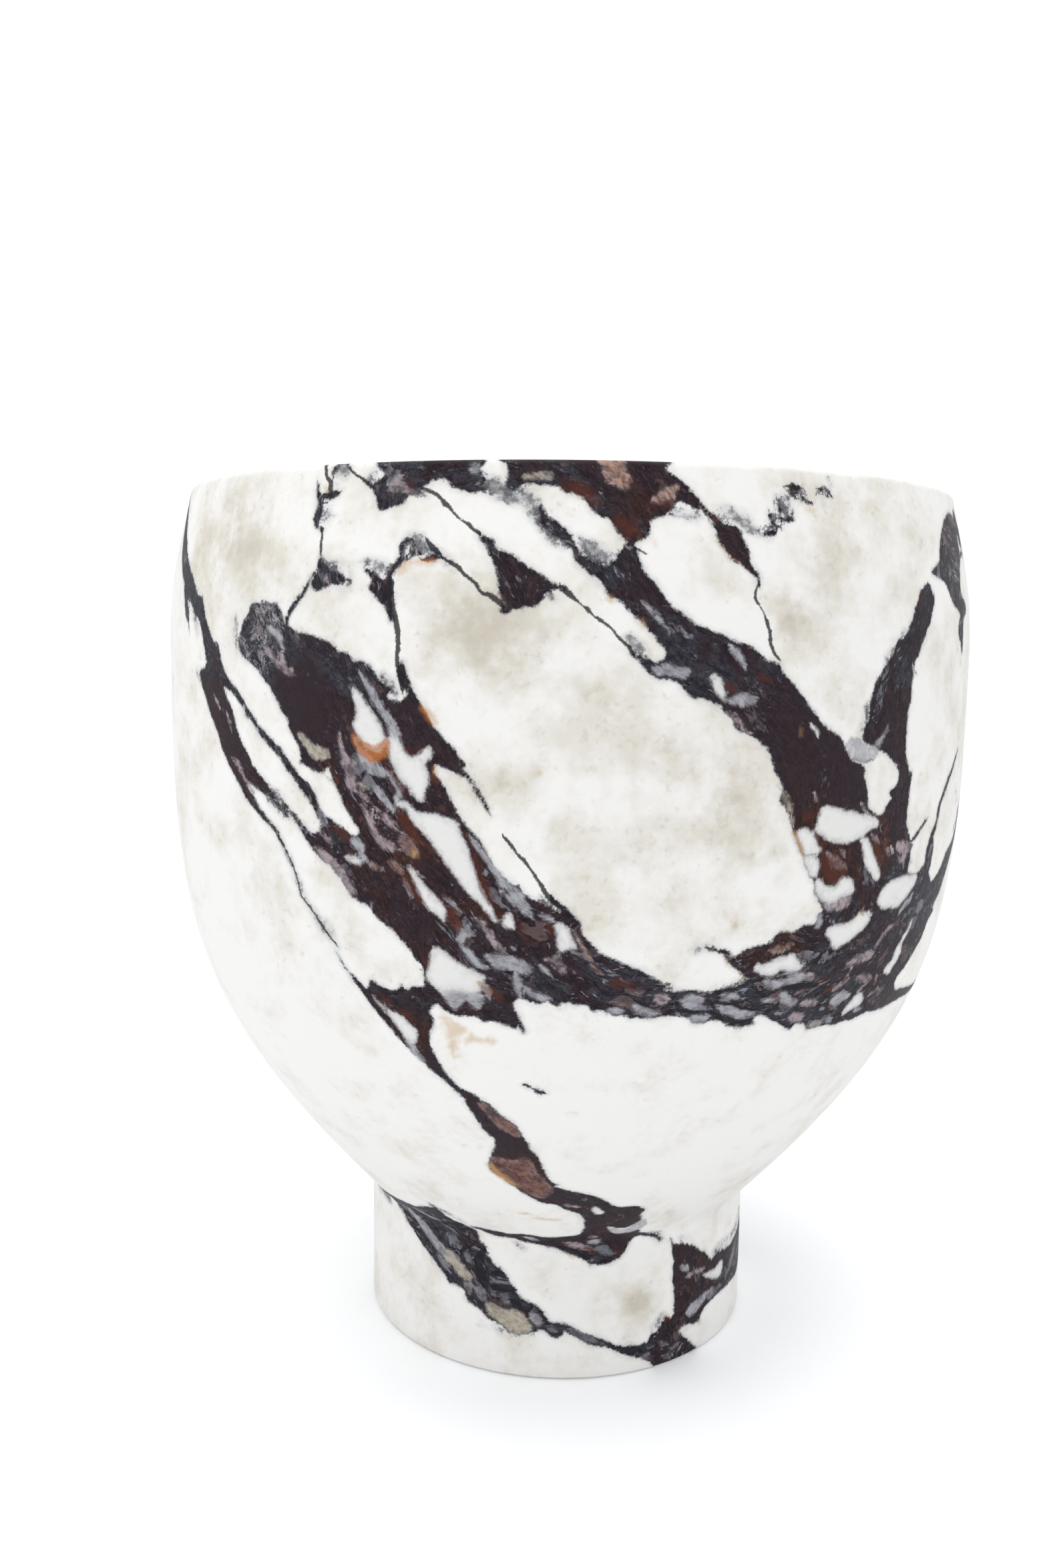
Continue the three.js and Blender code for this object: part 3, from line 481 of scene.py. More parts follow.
HAIRLINES = [
    [(-35.9, 192.6, 0.3), (-34.5, 187.5, 0.3), (-33.4, 181.9, 0.3), (-33, 176.6, 0.3), (-31.3, 172.5, 0.3),
     (-29.9, 167.8, 0.35), (-28.2, 163.5, 0.3)],
    [(-31.4, 301, 0.5), (-30.7, 298.3, 0.6), (-30.5, 296.5, 0.6), (-29.8, 294.9, 0.7), (-29.6, 293.4, 0.9),
     (-29.5, 291.4, 0.9)],
    [(-28.7, 300.2, 0.4), (-27.7, 299.7, 0.4), (-26.7, 297.4, 0.4), (-25.5, 295.9, 0.4), (-24.6, 294.4, 0.5),
     (-23.8, 293.2, 0.7)],
    [(-30.2, 281.8, 0.4), (-29.9, 279.8, 0.4), (-30, 277.5, 0.5), (-29.8, 275.3, 0.5)],
    [(-19.9, 267, 0.9), (-19.8, 263, 0.9), (-19.4, 259, 0.9), (-19, 254.7, 0.8), (-18.8, 251, 0.7), (-18.9, 247.3, 0.7),
     (-18.8, 243.8, 0.6), (-18.4, 240.8, 0.7), (-18.2, 238.4, 0.8)],
    [(-16, 278.4, 0.4), (-15.2, 276.2, 0.9), (-14.4, 274.8, 0.6)],
    [(-14, 273.6, 0.4), (-12.2, 271.2, 0.7), (-11.3, 269.1, 0.5), (-10, 266.7, 0.5), (-9.3, 264.4, 0.5), (-8.5, 263.9, 0.7),
     (-7.6, 262.4, 0.8), (-7.1, 261.3, 0.6)],
    [(-17.1, 292.4, 0.4), (-15.8, 291.1, 0.6), (-14.6, 289.3, 0.5), (-14.3, 288.2, 0.8), (-13.6, 287.2, 0.5),
     (-12.8, 285.1, 0.4), (-12, 283.5, 0.2), (-11.2, 282.4, 0.6), (-10.6, 281.2, 0.5), (-10, 280.3, 0.6)],
    [(-0.5, 266.2, 0.6), (0.1, 264.5, 0.9), (0.9, 262.9, 0.5), (1.6, 261.5, 0.2), (2.2, 260.3, 0.6), (2.8, 258.9, 0.3),
     (3.6, 257.6, 0.4)],
    [(7.4, 276.6, 0.3), (8.7, 275, 0.2)],
    [(21.6, 268, 0.4), (21.2, 266.2, 0.3), (21.1, 264, 0.5), (21.6, 262.3, 0.3), (22.1, 260.2, 0.15), (22.4, 258.6, 0.5),
     (22.6, 257.2, 0.5), (23, 255, 0.5), (23, 252.9, 0.6), (23.3, 250.7, 0.5), (23.7, 249, 0.5), (24.1, 247.9, 0.4)],
    [(3.4, 258, 0.5), (4.4, 256.2, 0.4), (5.1, 254.7, 0.3), (5.7, 252.8, 0.4), (6.6, 251, 0.5), (7.1, 249, 0.6)],
    [(-6.4, 198.9, 0.4), (-5.6, 196.4, 0.5), (-5, 194.4, 0.4), (-4.3, 192.8, 0.6), (-3.8, 191.3, 0.4), (-3.3, 189.4, 0.4),
     (-2.6, 186.9, 0.5), (-2.1, 185, 0.7), (-1.6, 182.8, 0.7), (-0.9, 181.4, 0.8), (-0.3, 180.2, 0.8)],
]

# Pale fragments inside the veins
PALE_AREAS = [
    (LILAC, [(-21.4, 293.8), (-20.3, 296.3), (-19.8, 295.5), (-19.3, 293.3), (-18, 291.8), (-16.3, 291.2), (-17.6, 290.5),
     (-19, 290.9), (-20, 291.6), (-21.4, 291.5)]),
    (BLUE_GREY, [(-11.6, 298.5), (-10.5, 298.5), (-10.4, 296.5), (-11.4, 296)]),
    (TAN, [(-5.2, 296), (-3.5, 296.5), (-2, 296.4), (-2, 294.6), (-3.5, 294.3), (-5, 294.6)]),
    (ROSE, [(3.3, 301.5), (3.8, 296.6), (4.3, 294.2), (5, 292.8), (6, 292), (6.7, 292.5), (7.1, 293.9), (6.5, 297.1),
     (6, 301.5)]),
    (ROSE, [(9.1, 289.3), (10.3, 291.7), (11.2, 293.1), (12.4, 293.7), (12.2, 291.8), (11.8, 290), (11, 289.3),
     (9.8, 288.4)]),
    (BLUE_GREY, [(9.3, 245.2), (10.2, 246), (11, 246.4), (12.2, 245.5), (13.4, 245.4), (13.6, 243.8), (12.8, 242.4),
     (12.2, 242.8), (11.1, 243.1), (9.9, 243.4)]),
    (WHITE, [(15.9, 243.5), (16.5, 243.7), (17.2, 242.1), (17.5, 240), (17.8, 237.4), (17.7, 235.8), (17.1, 237.1),
     (16.4, 239.2), (16.1, 241.4)]),
    (BLUE_GREY, [(18, 236.4), (18.8, 237.8), (19.7, 238.7), (20.9, 238.1), (21.8, 237), (21.4, 235.4), (20.1, 234.9),
     (18.8, 235.2)]),
    (SAND, [(-32.5, 224.6), (-31.8, 224.5), (-30.7, 222.4), (-29.7, 221.3), (-28.5, 220.7), (-27.8, 219.3),
     (-27.9, 217.9), (-29, 217.3), (-29.8, 217), (-30.6, 218.5), (-31.4, 220.8), (-32.3, 222.8)]),
    (WHITE, [(-24.7, 238.2), (-24, 237.6), (-23.3, 235.8), (-22.5, 233.3), (-21.7, 231.1), (-21, 228.6), (-20.5, 226.2),
     (-20.3, 223.9), (-20.6, 221.8), (-21.1, 220.7), (-22, 221), (-22.8, 222), (-23.7, 224.1), (-24.4, 226.2),
     (-24.6, 228.4), (-24.1, 230.2), (-24.2, 233.2), (-24.6, 236.2)]),
    (BLUE_GREY, [(-24.3, 223.7), (-23.7, 221.5), (-22.8, 220.2), (-21.8, 218.1), (-20.6, 216.3), (-19.8, 214.7),
     (-20.6, 213.6), (-22.5, 214.8), (-23.4, 216.8), (-23.9, 219.7)]),
    (LILAC, [(-45, 215), (-44, 212.6), (-43.1, 210.4), (-42.2, 208.2), (-41.4, 206.3), (-40.6, 205), (-40, 206.4),
     (-41.1, 207.9), (-41.7, 209), (-42.4, 210.7), (-43.1, 213.6), (-44.3, 214.9)]),
    (BLUE_GREY, [(35, 225.5), (36.3, 225.3), (37.2, 223.9), (38, 222.8), (39, 222.5), (39.9, 221.2), (39.6, 219.6),
     (38.7, 218.6), (38, 218.1), (37, 218), (36.2, 218.3), (35.1, 219.8), (34.5, 221.9), (34, 223.7)]),
    (BLUE_GREY, [(41.6, 228.5), (40.9, 227.1), (40.3, 225.3), (39.4, 223.9), (39.3, 222.7), (40.1, 222.3), (40.6, 223.9),
     (41.3, 225.8), (41.7, 227.5)]),
    (WHITE, [(27.6, 199.8), (28.2, 200.3), (28.9, 200.4), (29.7, 199.7), (30.2, 198.3), (30.6, 196.6), (31, 194.8),
     (31.5, 193.8), (31.1, 192.6), (30.4, 192.4), (29.8, 192.5), (29, 192.3), (28.6, 193.7), (28.3, 195.5),
     (27.8, 197.5)]),
    (WHITE, [(28.7, 191.9), (29.5, 192.2), (30.4, 192.3), (30.8, 191.5), (31.3, 190.2), (31.4, 188.6), (31.2, 187.3),
     (31.1, 186), (30.7, 185.5), (30.2, 186), (29.8, 187), (29.5, 188.9), (29, 190.7)]),
    (WHITE, [(31.1, 181.4), (30.9, 183.5), (31, 185), (31.6, 185.4), (32, 184.5), (32.5, 183.2), (33.2, 182.4),
     (34.2, 182.5), (34.7, 183.2), (34.9, 184.3), (35.6, 184.9), (36.4, 184.4), (37.1, 183.4), (37.4, 181.8),
     (37.8, 180.5), (37.4, 179.5), (37, 178.6), (35.8, 178.5), (34.9, 177.7), (34, 177.2), (33, 177.5),
     (32.3, 178.2), (31.6, 179.9)]),
    (LILAC, [(32.6, 178), (34, 177), (35.1, 177.8), (36, 178.4), (37, 178.5), (37.3, 177.2), (36.9, 175.7), (35.9, 175.1),
     (35.2, 174.8), (34.4, 175.4), (33.6, 175.4), (32.9, 176.4)]),
    (WHITE, [(30.1, 199.8), (30.4, 201.1), (30.4, 202.8), (30.8, 205.2), (31.3, 206.1), (31.8, 206.5), (32.6, 206),
     (33.5, 205.4), (34.4, 204.9), (35.3, 204.2), (36.1, 204.3), (37, 203.4), (37.8, 202.9), (38.6, 203.4),
     (39.5, 202.2), (40.7, 201), (40.9, 199.5), (40.6, 198.2), (39.7, 198), (39, 197.4), (38.5, 196.5),
     (37.7, 195.8), (36.8, 195.5), (35.8, 194.7), (34.8, 194.9), (33.9, 195.1), (33.1, 195.6), (32.3, 196.4),
     (31.6, 197.4), (30.8, 198.6)]),
    (SALMON, [(32.3, 193), (32.8, 192.7), (33.5, 191.6), (34.3, 190.8), (35, 189.7), (35.7, 188.5), (35.8, 187.5),
     (35.4, 187.1), (34.3, 187.4), (33.5, 187.7), (33.1, 188.8), (32.7, 190.6), (32.3, 191.9)]),
    (WHITE, [(37.7, 195.4), (38.7, 195.9), (39.3, 195), (39.9, 193.1), (40.5, 190.5), (41.3, 187.9), (42, 185.6),
     (42.4, 183.2), (41.6, 182), (40.9, 182.9), (40.2, 184.9), (39.2, 187), (38.8, 189.2), (38.4, 191.9),
     (38, 193.9)]),
    (WHITE, [(33.7, 167.7), (33.7, 169.2), (34.3, 170.1), (35.5, 170.4), (36.7, 170.4), (37.7, 170.8), (38.5, 171.7),
     (39, 172.6), (39.6, 173.1), (40.8, 172.8), (41.7, 172.3), (41.6, 170.5), (41.3, 169.1), (40.4, 167.4),
     (39.5, 166.2), (38.4, 164.8), (37.3, 163.7), (36.5, 162.8), (35.8, 162.8), (35, 164), (34.8, 165.6),
     (34.2, 166.8)]),
    (BLUE_GREY, [(31.9, 174.6), (32.2, 174.9), (32.7, 174.4), (32.8, 173), (32.8, 171.5), (32.6, 170.2), (32.1, 170.2),
     (31.8, 171.4), (31.7, 173.2)]),
    (WHITE, [(42.6, 175), (42.6, 176.5), (43, 178.2), (43.5, 179.5), (44.3, 180.5), (45.4, 181.3), (46.9, 181.6),
     (48.6, 181.6), (50.2, 181.3), (51.4, 181.3), (51.8, 180.2), (51.6, 178.2), (50.9, 176.6), (49.9, 174.8),
     (48.9, 173.2), (47.9, 172.1), (47, 171.7), (45.5, 172.4), (44.2, 172.3), (43.1, 173.5)]),
    (LILAC, [(45.1, 191.5), (45.3, 192.8), (46.2, 192.9), (47, 192.4), (48.2, 192), (49.1, 191), (49, 189.3), (48.4, 188.9),
     (47.3, 189), (46.3, 189.3), (45.3, 190.4)]),
    (LILAC, [(46.3, 187.3), (46.7, 188.3), (47.4, 188.6), (48, 188), (47.8, 186.9), (47.3, 186.1), (46.5, 186.2)]),
    (LILAC, [(-30.5, 191.9), (-29.7, 192.1), (-29.1, 191.4), (-28.2, 190.3), (-27.4, 188.8), (-26.8, 187.2), (-26.1, 185.7),
     (-25.7, 183.8), (-25.2, 181.9), (-24.8, 180.3), (-24.7, 179.5), (-25.2, 179.3), (-25.6, 180.1), (-26.1, 182),
     (-26.5, 183.2), (-27, 184.5), (-27.6, 186.2), (-28.5, 187.5), (-29.2, 188.9), (-29.9, 190.2)]),
    (WHITE, [(-26, 190.1), (-25.3, 190.5), (-24.6, 190.5), (-23.9, 190.1), (-23.5, 189.4), (-23.8, 188.2), (-24.3, 188.3),
     (-25.1, 188.7), (-25.6, 189.2)]),
    (BLUE_GREY, [(-25.1, 195), (-24.5, 196.2), (-23.8, 195.3), (-23.4, 194.2), (-23.1, 193.4), (-23.4, 192.4), (-23.3, 191.4),
     (-22.9, 189.9), (-22.6, 188.9), (-23, 188.8), (-23.5, 189.7), (-23.9, 191.3), (-24.2, 192.5), (-24.7, 193.5)]),
    (BLUE_GREY, [(-21.8, 210), (-21.4, 210.9), (-21, 210.5), (-20.5, 209), (-20, 207.4), (-19.4, 205.8), (-19.2, 204.7),
     (-19.4, 203.6), (-19.8, 204.2), (-20.3, 205.5), (-20.9, 207), (-21.4, 208.6)]),
    (LILAC, [(-26.2, 217.2), (-25.7, 215.3), (-25.5, 213.4), (-25.5, 211.1), (-25.1, 209.9), (-24.5, 209.3), (-23.9, 208.6),
     (-23.3, 207.5), (-22.7, 206.5), (-22.3, 206.2), (-22.7, 207.7), (-23.3, 209), (-23.9, 209.8), (-24.2, 211),
     (-24.3, 212.6), (-24.4, 214.9), (-24.2, 217.5)]),
    (TAN, [(-23.9, 211.6), (-23.3, 212.4), (-22.7, 211.5), (-22.4, 210.2), (-22.2, 209.1), (-22.8, 209.5), (-23.4, 209.9),
     (-23.8, 210.8)]),
    (WHITE, [(-20, 224.4), (-19.4, 226.2), (-18.5, 224.2), (-18.2, 222), (-17.7, 220.6), (-17.1, 219.9), (-16.2, 221.1),
     (-15.5, 222.6), (-15, 222.8), (-14.6, 221.2), (-14.8, 219.8), (-15.3, 218.7), (-15.4, 217.9), (-15.3, 216.3),
     (-15, 214.8), (-15.1, 212.9), (-15.4, 211.2), (-15.6, 209.6), (-15.6, 208.2), (-16, 207.4), (-16.6, 208.2),
     (-17, 209.4), (-17.5, 211.1), (-18.1, 212.3), (-18.8, 213.8), (-19.2, 215.7), (-19.6, 218.2), (-20, 221.8)]),
    (WHITE, [(-17.8, 189.1), (-17.4, 189.2), (-16.8, 187.8), (-16.2, 185.8), (-15.6, 184), (-15, 182.5), (-14.4, 181),
     (-13.8, 179.7), (-13.4, 178.3), (-13.2, 176.8), (-13.3, 175.1), (-13.5, 173.7), (-13.8, 174.2), (-14.3, 175.6),
     (-15.1, 176.8), (-15.7, 178), (-16.1, 180), (-16.5, 181.6), (-16.8, 183.5), (-17.2, 185.7), (-17.6, 187.6)]),
    (SALMON, [(-18.9, 196), (-18.7, 197.5), (-18.2, 197.9), (-17.5, 197.1), (-16.8, 195.9), (-16.4, 194), (-16.5, 192.4),
     (-17, 191.9), (-17.5, 192.2), (-18.1, 193.1), (-18.5, 194.4)]),
    (RUST, [(-20.1, 190.5), (-19.6, 190.5), (-19.1, 189.6), (-18.5, 188.4), (-18.3, 187.2), (-18.7, 186.6), (-19.3, 187.4),
     (-19.8, 188.5)]),
    (RUST, [(-22.7, 188.8), (-22, 189), (-21.4, 188.2), (-21, 186.9), (-21.4, 186.6), (-22, 187.4), (-22.6, 188)]),
    (WHITE, [(-19.2, 207), (-19, 205.7), (-18.2, 205.8), (-17.8, 204.8), (-17.4, 203.1), (-16.7, 200.9), (-16, 199.4),
     (-15.4, 197.9), (-14.7, 195.7), (-14.1, 193.8), (-13.6, 192.1), (-13.1, 190.4), (-12.7, 188.8), (-12.1, 187.3),
     (-11.6, 185.4), (-10.9, 183.5), (-10.1, 181.5), (-9.3, 179.6), (-8.5, 177.5), (-7.9, 175.5), (-7.3, 174.7),
     (-7.3, 175.7), (-7.7, 178.2), (-8.1, 180), (-8.6, 182), (-9.1, 184.6), (-9.5, 187), (-9.7, 189.1),
     (-10, 191.3), (-10.3, 193.6), (-10.6, 195.8), (-11, 197.7), (-11.4, 199.7), (-11.6, 200.8), (-11.5, 201.8),
     (-12, 202.8), (-12.6, 203.3), (-13.4, 203.9), (-14.2, 204.4), (-14.9, 204.6), (-15.7, 204.6), (-16.5, 204.7),
     (-17.1, 206), (-17.7, 207.1), (-18.4, 207.7)]),
    (BLUE_GREY, [(-7.4, 188.9), (-6.6, 188), (-6, 186.5), (-5.2, 184.9), (-4.6, 183.8), (-5.3, 183.9), (-6.2, 184.2),
     (-6.9, 184.9), (-7.3, 186.6)]),
    (BLUE_GREY, [(-6.8, 183.6), (-5.7, 183.4), (-5.1, 183.8), (-4.4, 183.5), (-4.2, 181.9), (-3.8, 180.3), (-3.4, 178.5),
     (-3.1, 176.7), (-3, 175.8), (-3.5, 176.4), (-4.3, 178), (-5.1, 179.5), (-5.9, 181), (-6.5, 182.6)]),
    (WHITE, [(-15.3, 165.3), (-15, 166.2), (-14.4, 166.5), (-13.9, 165.8), (-13.3, 164.6), (-12.6, 163.3), (-12, 162.3),
     (-11.2, 161.4), (-10.3, 160.5), (-9.6, 159.6), (-9, 159), (-8.8, 157.9), (-9, 156.5), (-9.3, 155),
     (-9.4, 153.6), (-10.2, 153), (-11.5, 152.7), (-12.9, 153.2), (-14.3, 152.2), (-14.7, 152.9), (-15.1, 153.9),
     (-15.6, 154.8), (-16, 156.2), (-16.1, 157.9), (-15.8, 159.6), (-15.6, 161.4), (-15.4, 163.8)]),
    (BLUE_GREY, [(-14.5, 152.8), (-12.9, 153.6), (-11, 153.2), (-9.5, 153.8), (-9, 152), (-9.2, 149.8), (-9.9, 148.4),
     (-10.6, 149.4), (-11.3, 150.8), (-11.8, 149.3), (-12.6, 147.4), (-13, 148), (-13.6, 149.8)]),
    (WHITE, [(-22.3, 147), (-21.9, 145.4), (-21, 144.5), (-20.3, 143.9), (-19.7, 143), (-19.1, 141.6), (-18.5, 140.3),
     (-18.1, 139.4), (-18.3, 137.4), (-18.5, 135.7), (-19, 134.4), (-19.9, 134.8), (-20.2, 136.6), (-20.6, 138.6),
     (-21.2, 140.7), (-21.7, 142.7), (-22.1, 144.5)]),
    (BLUE_GREY, [(-19.9, 135.2), (-18.9, 134.6), (-18.6, 132.6), (-18.1, 130.6), (-17.6, 129), (-18.2, 128.6), (-18.9, 130.4),
     (-19.6, 132.3)]),
    (WHITE, [(-6.7, 175.6), (-6.2, 177.4), (-5.8, 177.8), (-5.5, 176.1), (-5.2, 174.4), (-5.1, 173.3), (-5.7, 173),
     (-6.3, 173.3), (-6.7, 174.1)]),
    (BLUE_GREY, [(-8.8, 165.1), (-8, 165.6), (-7.2, 165.5), (-6.1, 165.5), (-5.3, 165), (-4.4, 164.2), (-3.8, 163.2),
     (-3.3, 162), (-3.2, 160.6), (-3.8, 159.4), (-4.3, 159.8), (-5, 160.4), (-5.6, 161), (-6.3, 161.5),
     (-6.9, 160.8), (-7.6, 161.3), (-8.1, 162.7), (-8.6, 164)]),
    (WHITE, [(-0.6, 175.8), (-0.1, 175.2), (0.6, 174.3), (1.1, 172.5), (1.4, 170.8), (1.6, 169.2), (2, 167.8),
     (1.4, 167.8), (0.8, 167.7), (0.4, 166.7), (-0.1, 166.7), (-0.4, 168.4), (-0.5, 170.5), (-0.6, 172.6),
     (-0.8, 174.2)]),
    (LILAC, [(-2, 164.7), (-1.4, 165.1), (-0.8, 165.8), (-0.3, 165.3), (0.1, 163.9), (0.6, 162.5), (0.7, 161.2),
     (0.6, 160.1), (0, 160.8), (-0.5, 162.1), (-1, 163.5), (-1.5, 164.1)]),
    (BLUE_GREY, [(-12, 170), (-11.5, 172.3), (-10.7, 173.6), (-10.1, 172.1), (-9.7, 170.9), (-10.1, 170.4), (-10.8, 169.9),
     (-11.2, 168.5), (-11.7, 167.8), (-12.1, 168.5)]),
    (LILAC, [(11.2, 153.4), (11.6, 154), (12.2, 154), (12.9, 153.2), (13.2, 152.4), (12.6, 151.1), (12, 150.7),
     (11.5, 151.3), (11.2, 152.4)]),
    (BLUE_GREY, [(14.8, 153), (15.8, 153.6), (16.8, 153), (17.5, 151.8), (17.2, 149.8), (16.2, 148.8), (15.3, 149.4), (14.7, 151)]),
    (BLUE_GREY, [(8.6, 150.8), (9.6, 151), (10.6, 149.8), (11.8, 149), (12.3, 148.2), (11.4, 147.2), (10.4, 147.6), (9.4, 148.4),
     (8.6, 149.6)]),
    (BLUE_GREY, [(5.6, 149.8), (6.8, 150), (7.6, 149.2), (7.4, 148.2), (6.4, 148.4), (5.7, 148.9)]),
    (BLUE_GREY, [(19.8, 152.8), (20.6, 153.2), (21.8, 152.5), (22.3, 151.2), (21.4, 150.9), (20.3, 151.3)]),
    (BLUE_GREY, [(15.8, 146.6), (17, 146.8), (18.2, 146.6), (18.6, 145.6), (17.6, 144.8), (16.6, 144.9)]),
    (BLUE_GREY, [(19.2, 149.8), (20.2, 149.3), (21, 149), (21.9, 148.4), (22.7, 147.5), (23.9, 146.6), (24.8, 146), (24.9, 144.9),
     (24.3, 144.4), (23.3, 144.2), (22.5, 144.4), (21.7, 145.7), (20.6, 146.6), (19.8, 147.6), (19.3, 148.7)]),
    (BLUE_GREY, [(25.4, 150.4), (26.6, 150.2), (27.4, 149.6), (27, 148.4), (25.8, 148.6)]),
    (BLUE_GREY, [(28, 151.4), (28.9, 151.5), (30, 149.5), (31, 148.3), (31.1, 146.9), (30.2, 146.6), (28.9, 147.6), (28.2, 149.6)]),
    (BLUE_GREY, [(25.2, 156), (26.4, 156), (27.8, 155.2), (29.1, 156.2), (30.1, 156.7), (31.3, 156.6), (32.1, 155.1), (31.4, 154.3),
     (30.3, 153.8), (28.9, 153.6), (27.8, 153.1), (26.7, 153.2), (25.6, 154.1)]),
    (LILAC, [(31.6, 156.4), (32.5, 156.3), (33.2, 154.9), (32.9, 153.7), (32.1, 153.9), (31.6, 155)]),
    (LILAC, [(32, 147.8), (33, 147.6), (34.4, 147), (34.9, 145.6), (33.8, 145), (32.6, 145.8), (31.9, 146.6)]),
    (LILAC, [(30.5, 143.6), (31.6, 143.8), (32.8, 142.8), (33, 141.4), (31.9, 140.7), (30.8, 141.4), (30.2, 142.6)]),
    (WHITE, [(23.6, 159.9), (24, 161.8), (24.4, 161), (25.2, 161.5), (26.1, 162), (27.1, 162.8), (28, 163), (28.9, 163.5),
     (29.5, 162.9), (29.8, 161.6), (30.3, 160), (30.8, 158.3), (30.7, 157.6), (29.9, 157.7), (29.2, 157.7), (28.1, 158.2),
     (27.6, 158.8), (27.2, 157.8), (26.7, 157.2), (26, 157), (25.2, 157.4), (24.6, 158.2), (24, 158.8)]),
    (LILAC, [(38.4, 157.4), (38.9, 158.1), (39.9, 158.7), (41.2, 159.4), (42.4, 159.6), (43.5, 159.7), (44.2, 159.3),
     (43.9, 158.2), (43.4, 157), (42.2, 156.6), (40.9, 156.3), (39.8, 156.5), (38.9, 156.7)]),
    (LILAC, [(41.3, 151.7), (42.5, 152.2), (43.6, 151.9), (44.9, 150.5), (44.9, 149.5), (44.5, 148.3), (43.8, 148.4),
     (42.7, 149.6), (41.8, 150.4)]),
    (BLUE_GREY, [(37.1, 145.3), (37.7, 146.7), (38.7, 147.7), (39.9, 147.7), (40.9, 146.8), (41, 145.7), (40.1, 144.9),
     (39.3, 144.1), (38.7, 143.3), (37.7, 144.2)]),
    (WHITE, [(41.6, 143.5), (42, 144.9), (42.7, 146), (43.5, 145.8), (44.4, 143.8), (44.6, 142.1), (43.9, 140.9),
     (42.8, 140.5), (41.8, 139.9), (40.7, 139.1), (40.7, 140.8), (41, 142.3)]),
    (BLUE_GREY, [(37.5, 139), (38, 139.9), (38.7, 139.1), (38.9, 137.9), (38.4, 137.5), (37.7, 138.1)]),
    (TAN, [(34.6, 139), (35.6, 139.8), (36.6, 139.2), (36.8, 138), (35.8, 137.6), (34.8, 137.7)]),
    (WHITE, [(52.7, 166.4), (52.8, 164), (52.2, 161.7), (51.7, 160.1), (51.2, 158.2), (51.5, 155.9), (51.3, 154.2),
     (50.8, 152.6), (50.2, 151.1), (49.9, 149.5), (49.6, 148.9), (48.5, 149.7), (47.8, 150.5), (48.1, 152.4),
     (49, 153.5), (49.4, 154.4), (49.3, 155.8), (49.6, 157.1), (49.9, 158.5), (50.5, 159.6), (50.7, 161.3),
     (51.9, 162.9), (52.3, 165.2)]),
    # salmon-brown matter in the lower vein
    (SALMON, [(-10.9, 116.2), (-9.6, 115.6), (-8.4, 112.4), (-7.2, 110.4), (-6.3, 108.8), (-5.7, 106), (-5.3, 103.8),
     (-6.4, 103.6), (-7.6, 105.4), (-8.8, 107.2), (-9.8, 109.8), (-10.4, 112.6), (-11.2, 114.8)]),
    (SALMON, [(-10.5, 94), (-8.6, 93.4), (-6.8, 93), (-5.6, 95), (-4.8, 94.6), (-4, 92), (-3.2, 88), (-2.2, 85), (-1.2, 82),
     (-0.8, 78.6), (-2.2, 75.4), (-4.4, 76.2), (-6.6, 78.8), (-8.6, 82), (-10.6, 85.6), (-11.4, 89), (-11.2, 92)]),
    # in the patch that crosses the junction
    (WHITE, [(7.4, 70.3), (7.9, 70.9), (8.4, 70.6), (9.2, 69.6), (10.2, 67.9), (10.3, 66.9), (9.5, 66.5), (8.5, 66.9),
     (7.8, 68.1), (7.4, 69.4)]),
    (BLUE_GREY, [(12.4, 59), (14.6, 57.6), (17.1, 56.8), (18.8, 58.3), (21, 61.4), (22.8, 57.8), (21.8, 55.8), (19.9, 54.4),
     (17.9, 53.9), (16.1, 54.1), (14.4, 55.2), (13.6, 55.8)]),
    (LILAC, [(1.9, 50.6), (4.3, 50.6), (6.7, 49.9), (8.2, 48.6), (10.2, 47.6), (10.7, 46.8), (9.1, 46.6), (7.1, 47.1),
     (5, 47.9), (3.1, 48.7), (1.9, 49.7)]),
    # strips and clasts in the foot's left fan
    (BLUE_GREY, [(-46, 50.9), (-44.2, 49.9), (-42.2, 48.3), (-40, 47.2), (-38.1, 45.7), (-36.3, 44.2), (-34.3, 42.6),
     (-32.4, 41), (-31, 38.8), (-33.7, 36.7), (-34.7, 38.2), (-36.2, 39.7), (-37.8, 41.2), (-39.4, 42.7),
     (-41.1, 44.5), (-42.8, 45.7), (-44.5, 47.4), (-46.4, 48.9)]),
    (SAND, [(-32.4, 41), (-30.5, 40.3), (-28.7, 38.4), (-26.9, 37.1), (-25.6, 35.8), (-24.1, 34.1), (-23.7, 32.3),
     (-24.7, 31.5), (-26.4, 31.8), (-28.1, 32.4), (-29.1, 34), (-30, 35.5), (-32.3, 36.2), (-33.4, 38)]),
    (BLUE_GREY, [(-41.1, 53.9), (-39.5, 53.6), (-37.3, 52.9), (-34.9, 52.5), (-32.4, 51.8), (-33.4, 51.2), (-35.3, 51.2),
     (-37.3, 51.7), (-39.5, 52.4), (-40.8, 52.9)]),
    (STEEL, [(-31.9, 47.1), (-30.1, 47.5), (-28.8, 46.2), (-27.9, 44.6), (-27.7, 42.7), (-28.8, 42.6), (-30.1, 43.9),
     (-31.5, 45.2)]),
    (STEEL, [(-26.1, 42), (-24.8, 41.6), (-24, 40), (-23.1, 38.7), (-24.4, 38.1), (-25.7, 39.5), (-26.3, 40.8)]),
    (MAUVE, [(-22.2, 30.8), (-20.5, 30.3), (-19.3, 28.7), (-19.3, 26.7), (-20.5, 25.5), (-21.7, 27.1), (-22.4, 28.8)]),
    (STEEL, [(-35, 37.5), (-33.2, 36.4), (-31.6, 35.6), (-30.8, 33.8), (-32.4, 33.4), (-34, 34.8), (-35.2, 36)]),
    (MAUVE, [(-26, 31), (-23.8, 31.3), (-23.6, 29.4), (-24.2, 26.8), (-25.5, 28), (-26.4, 29.6)]),
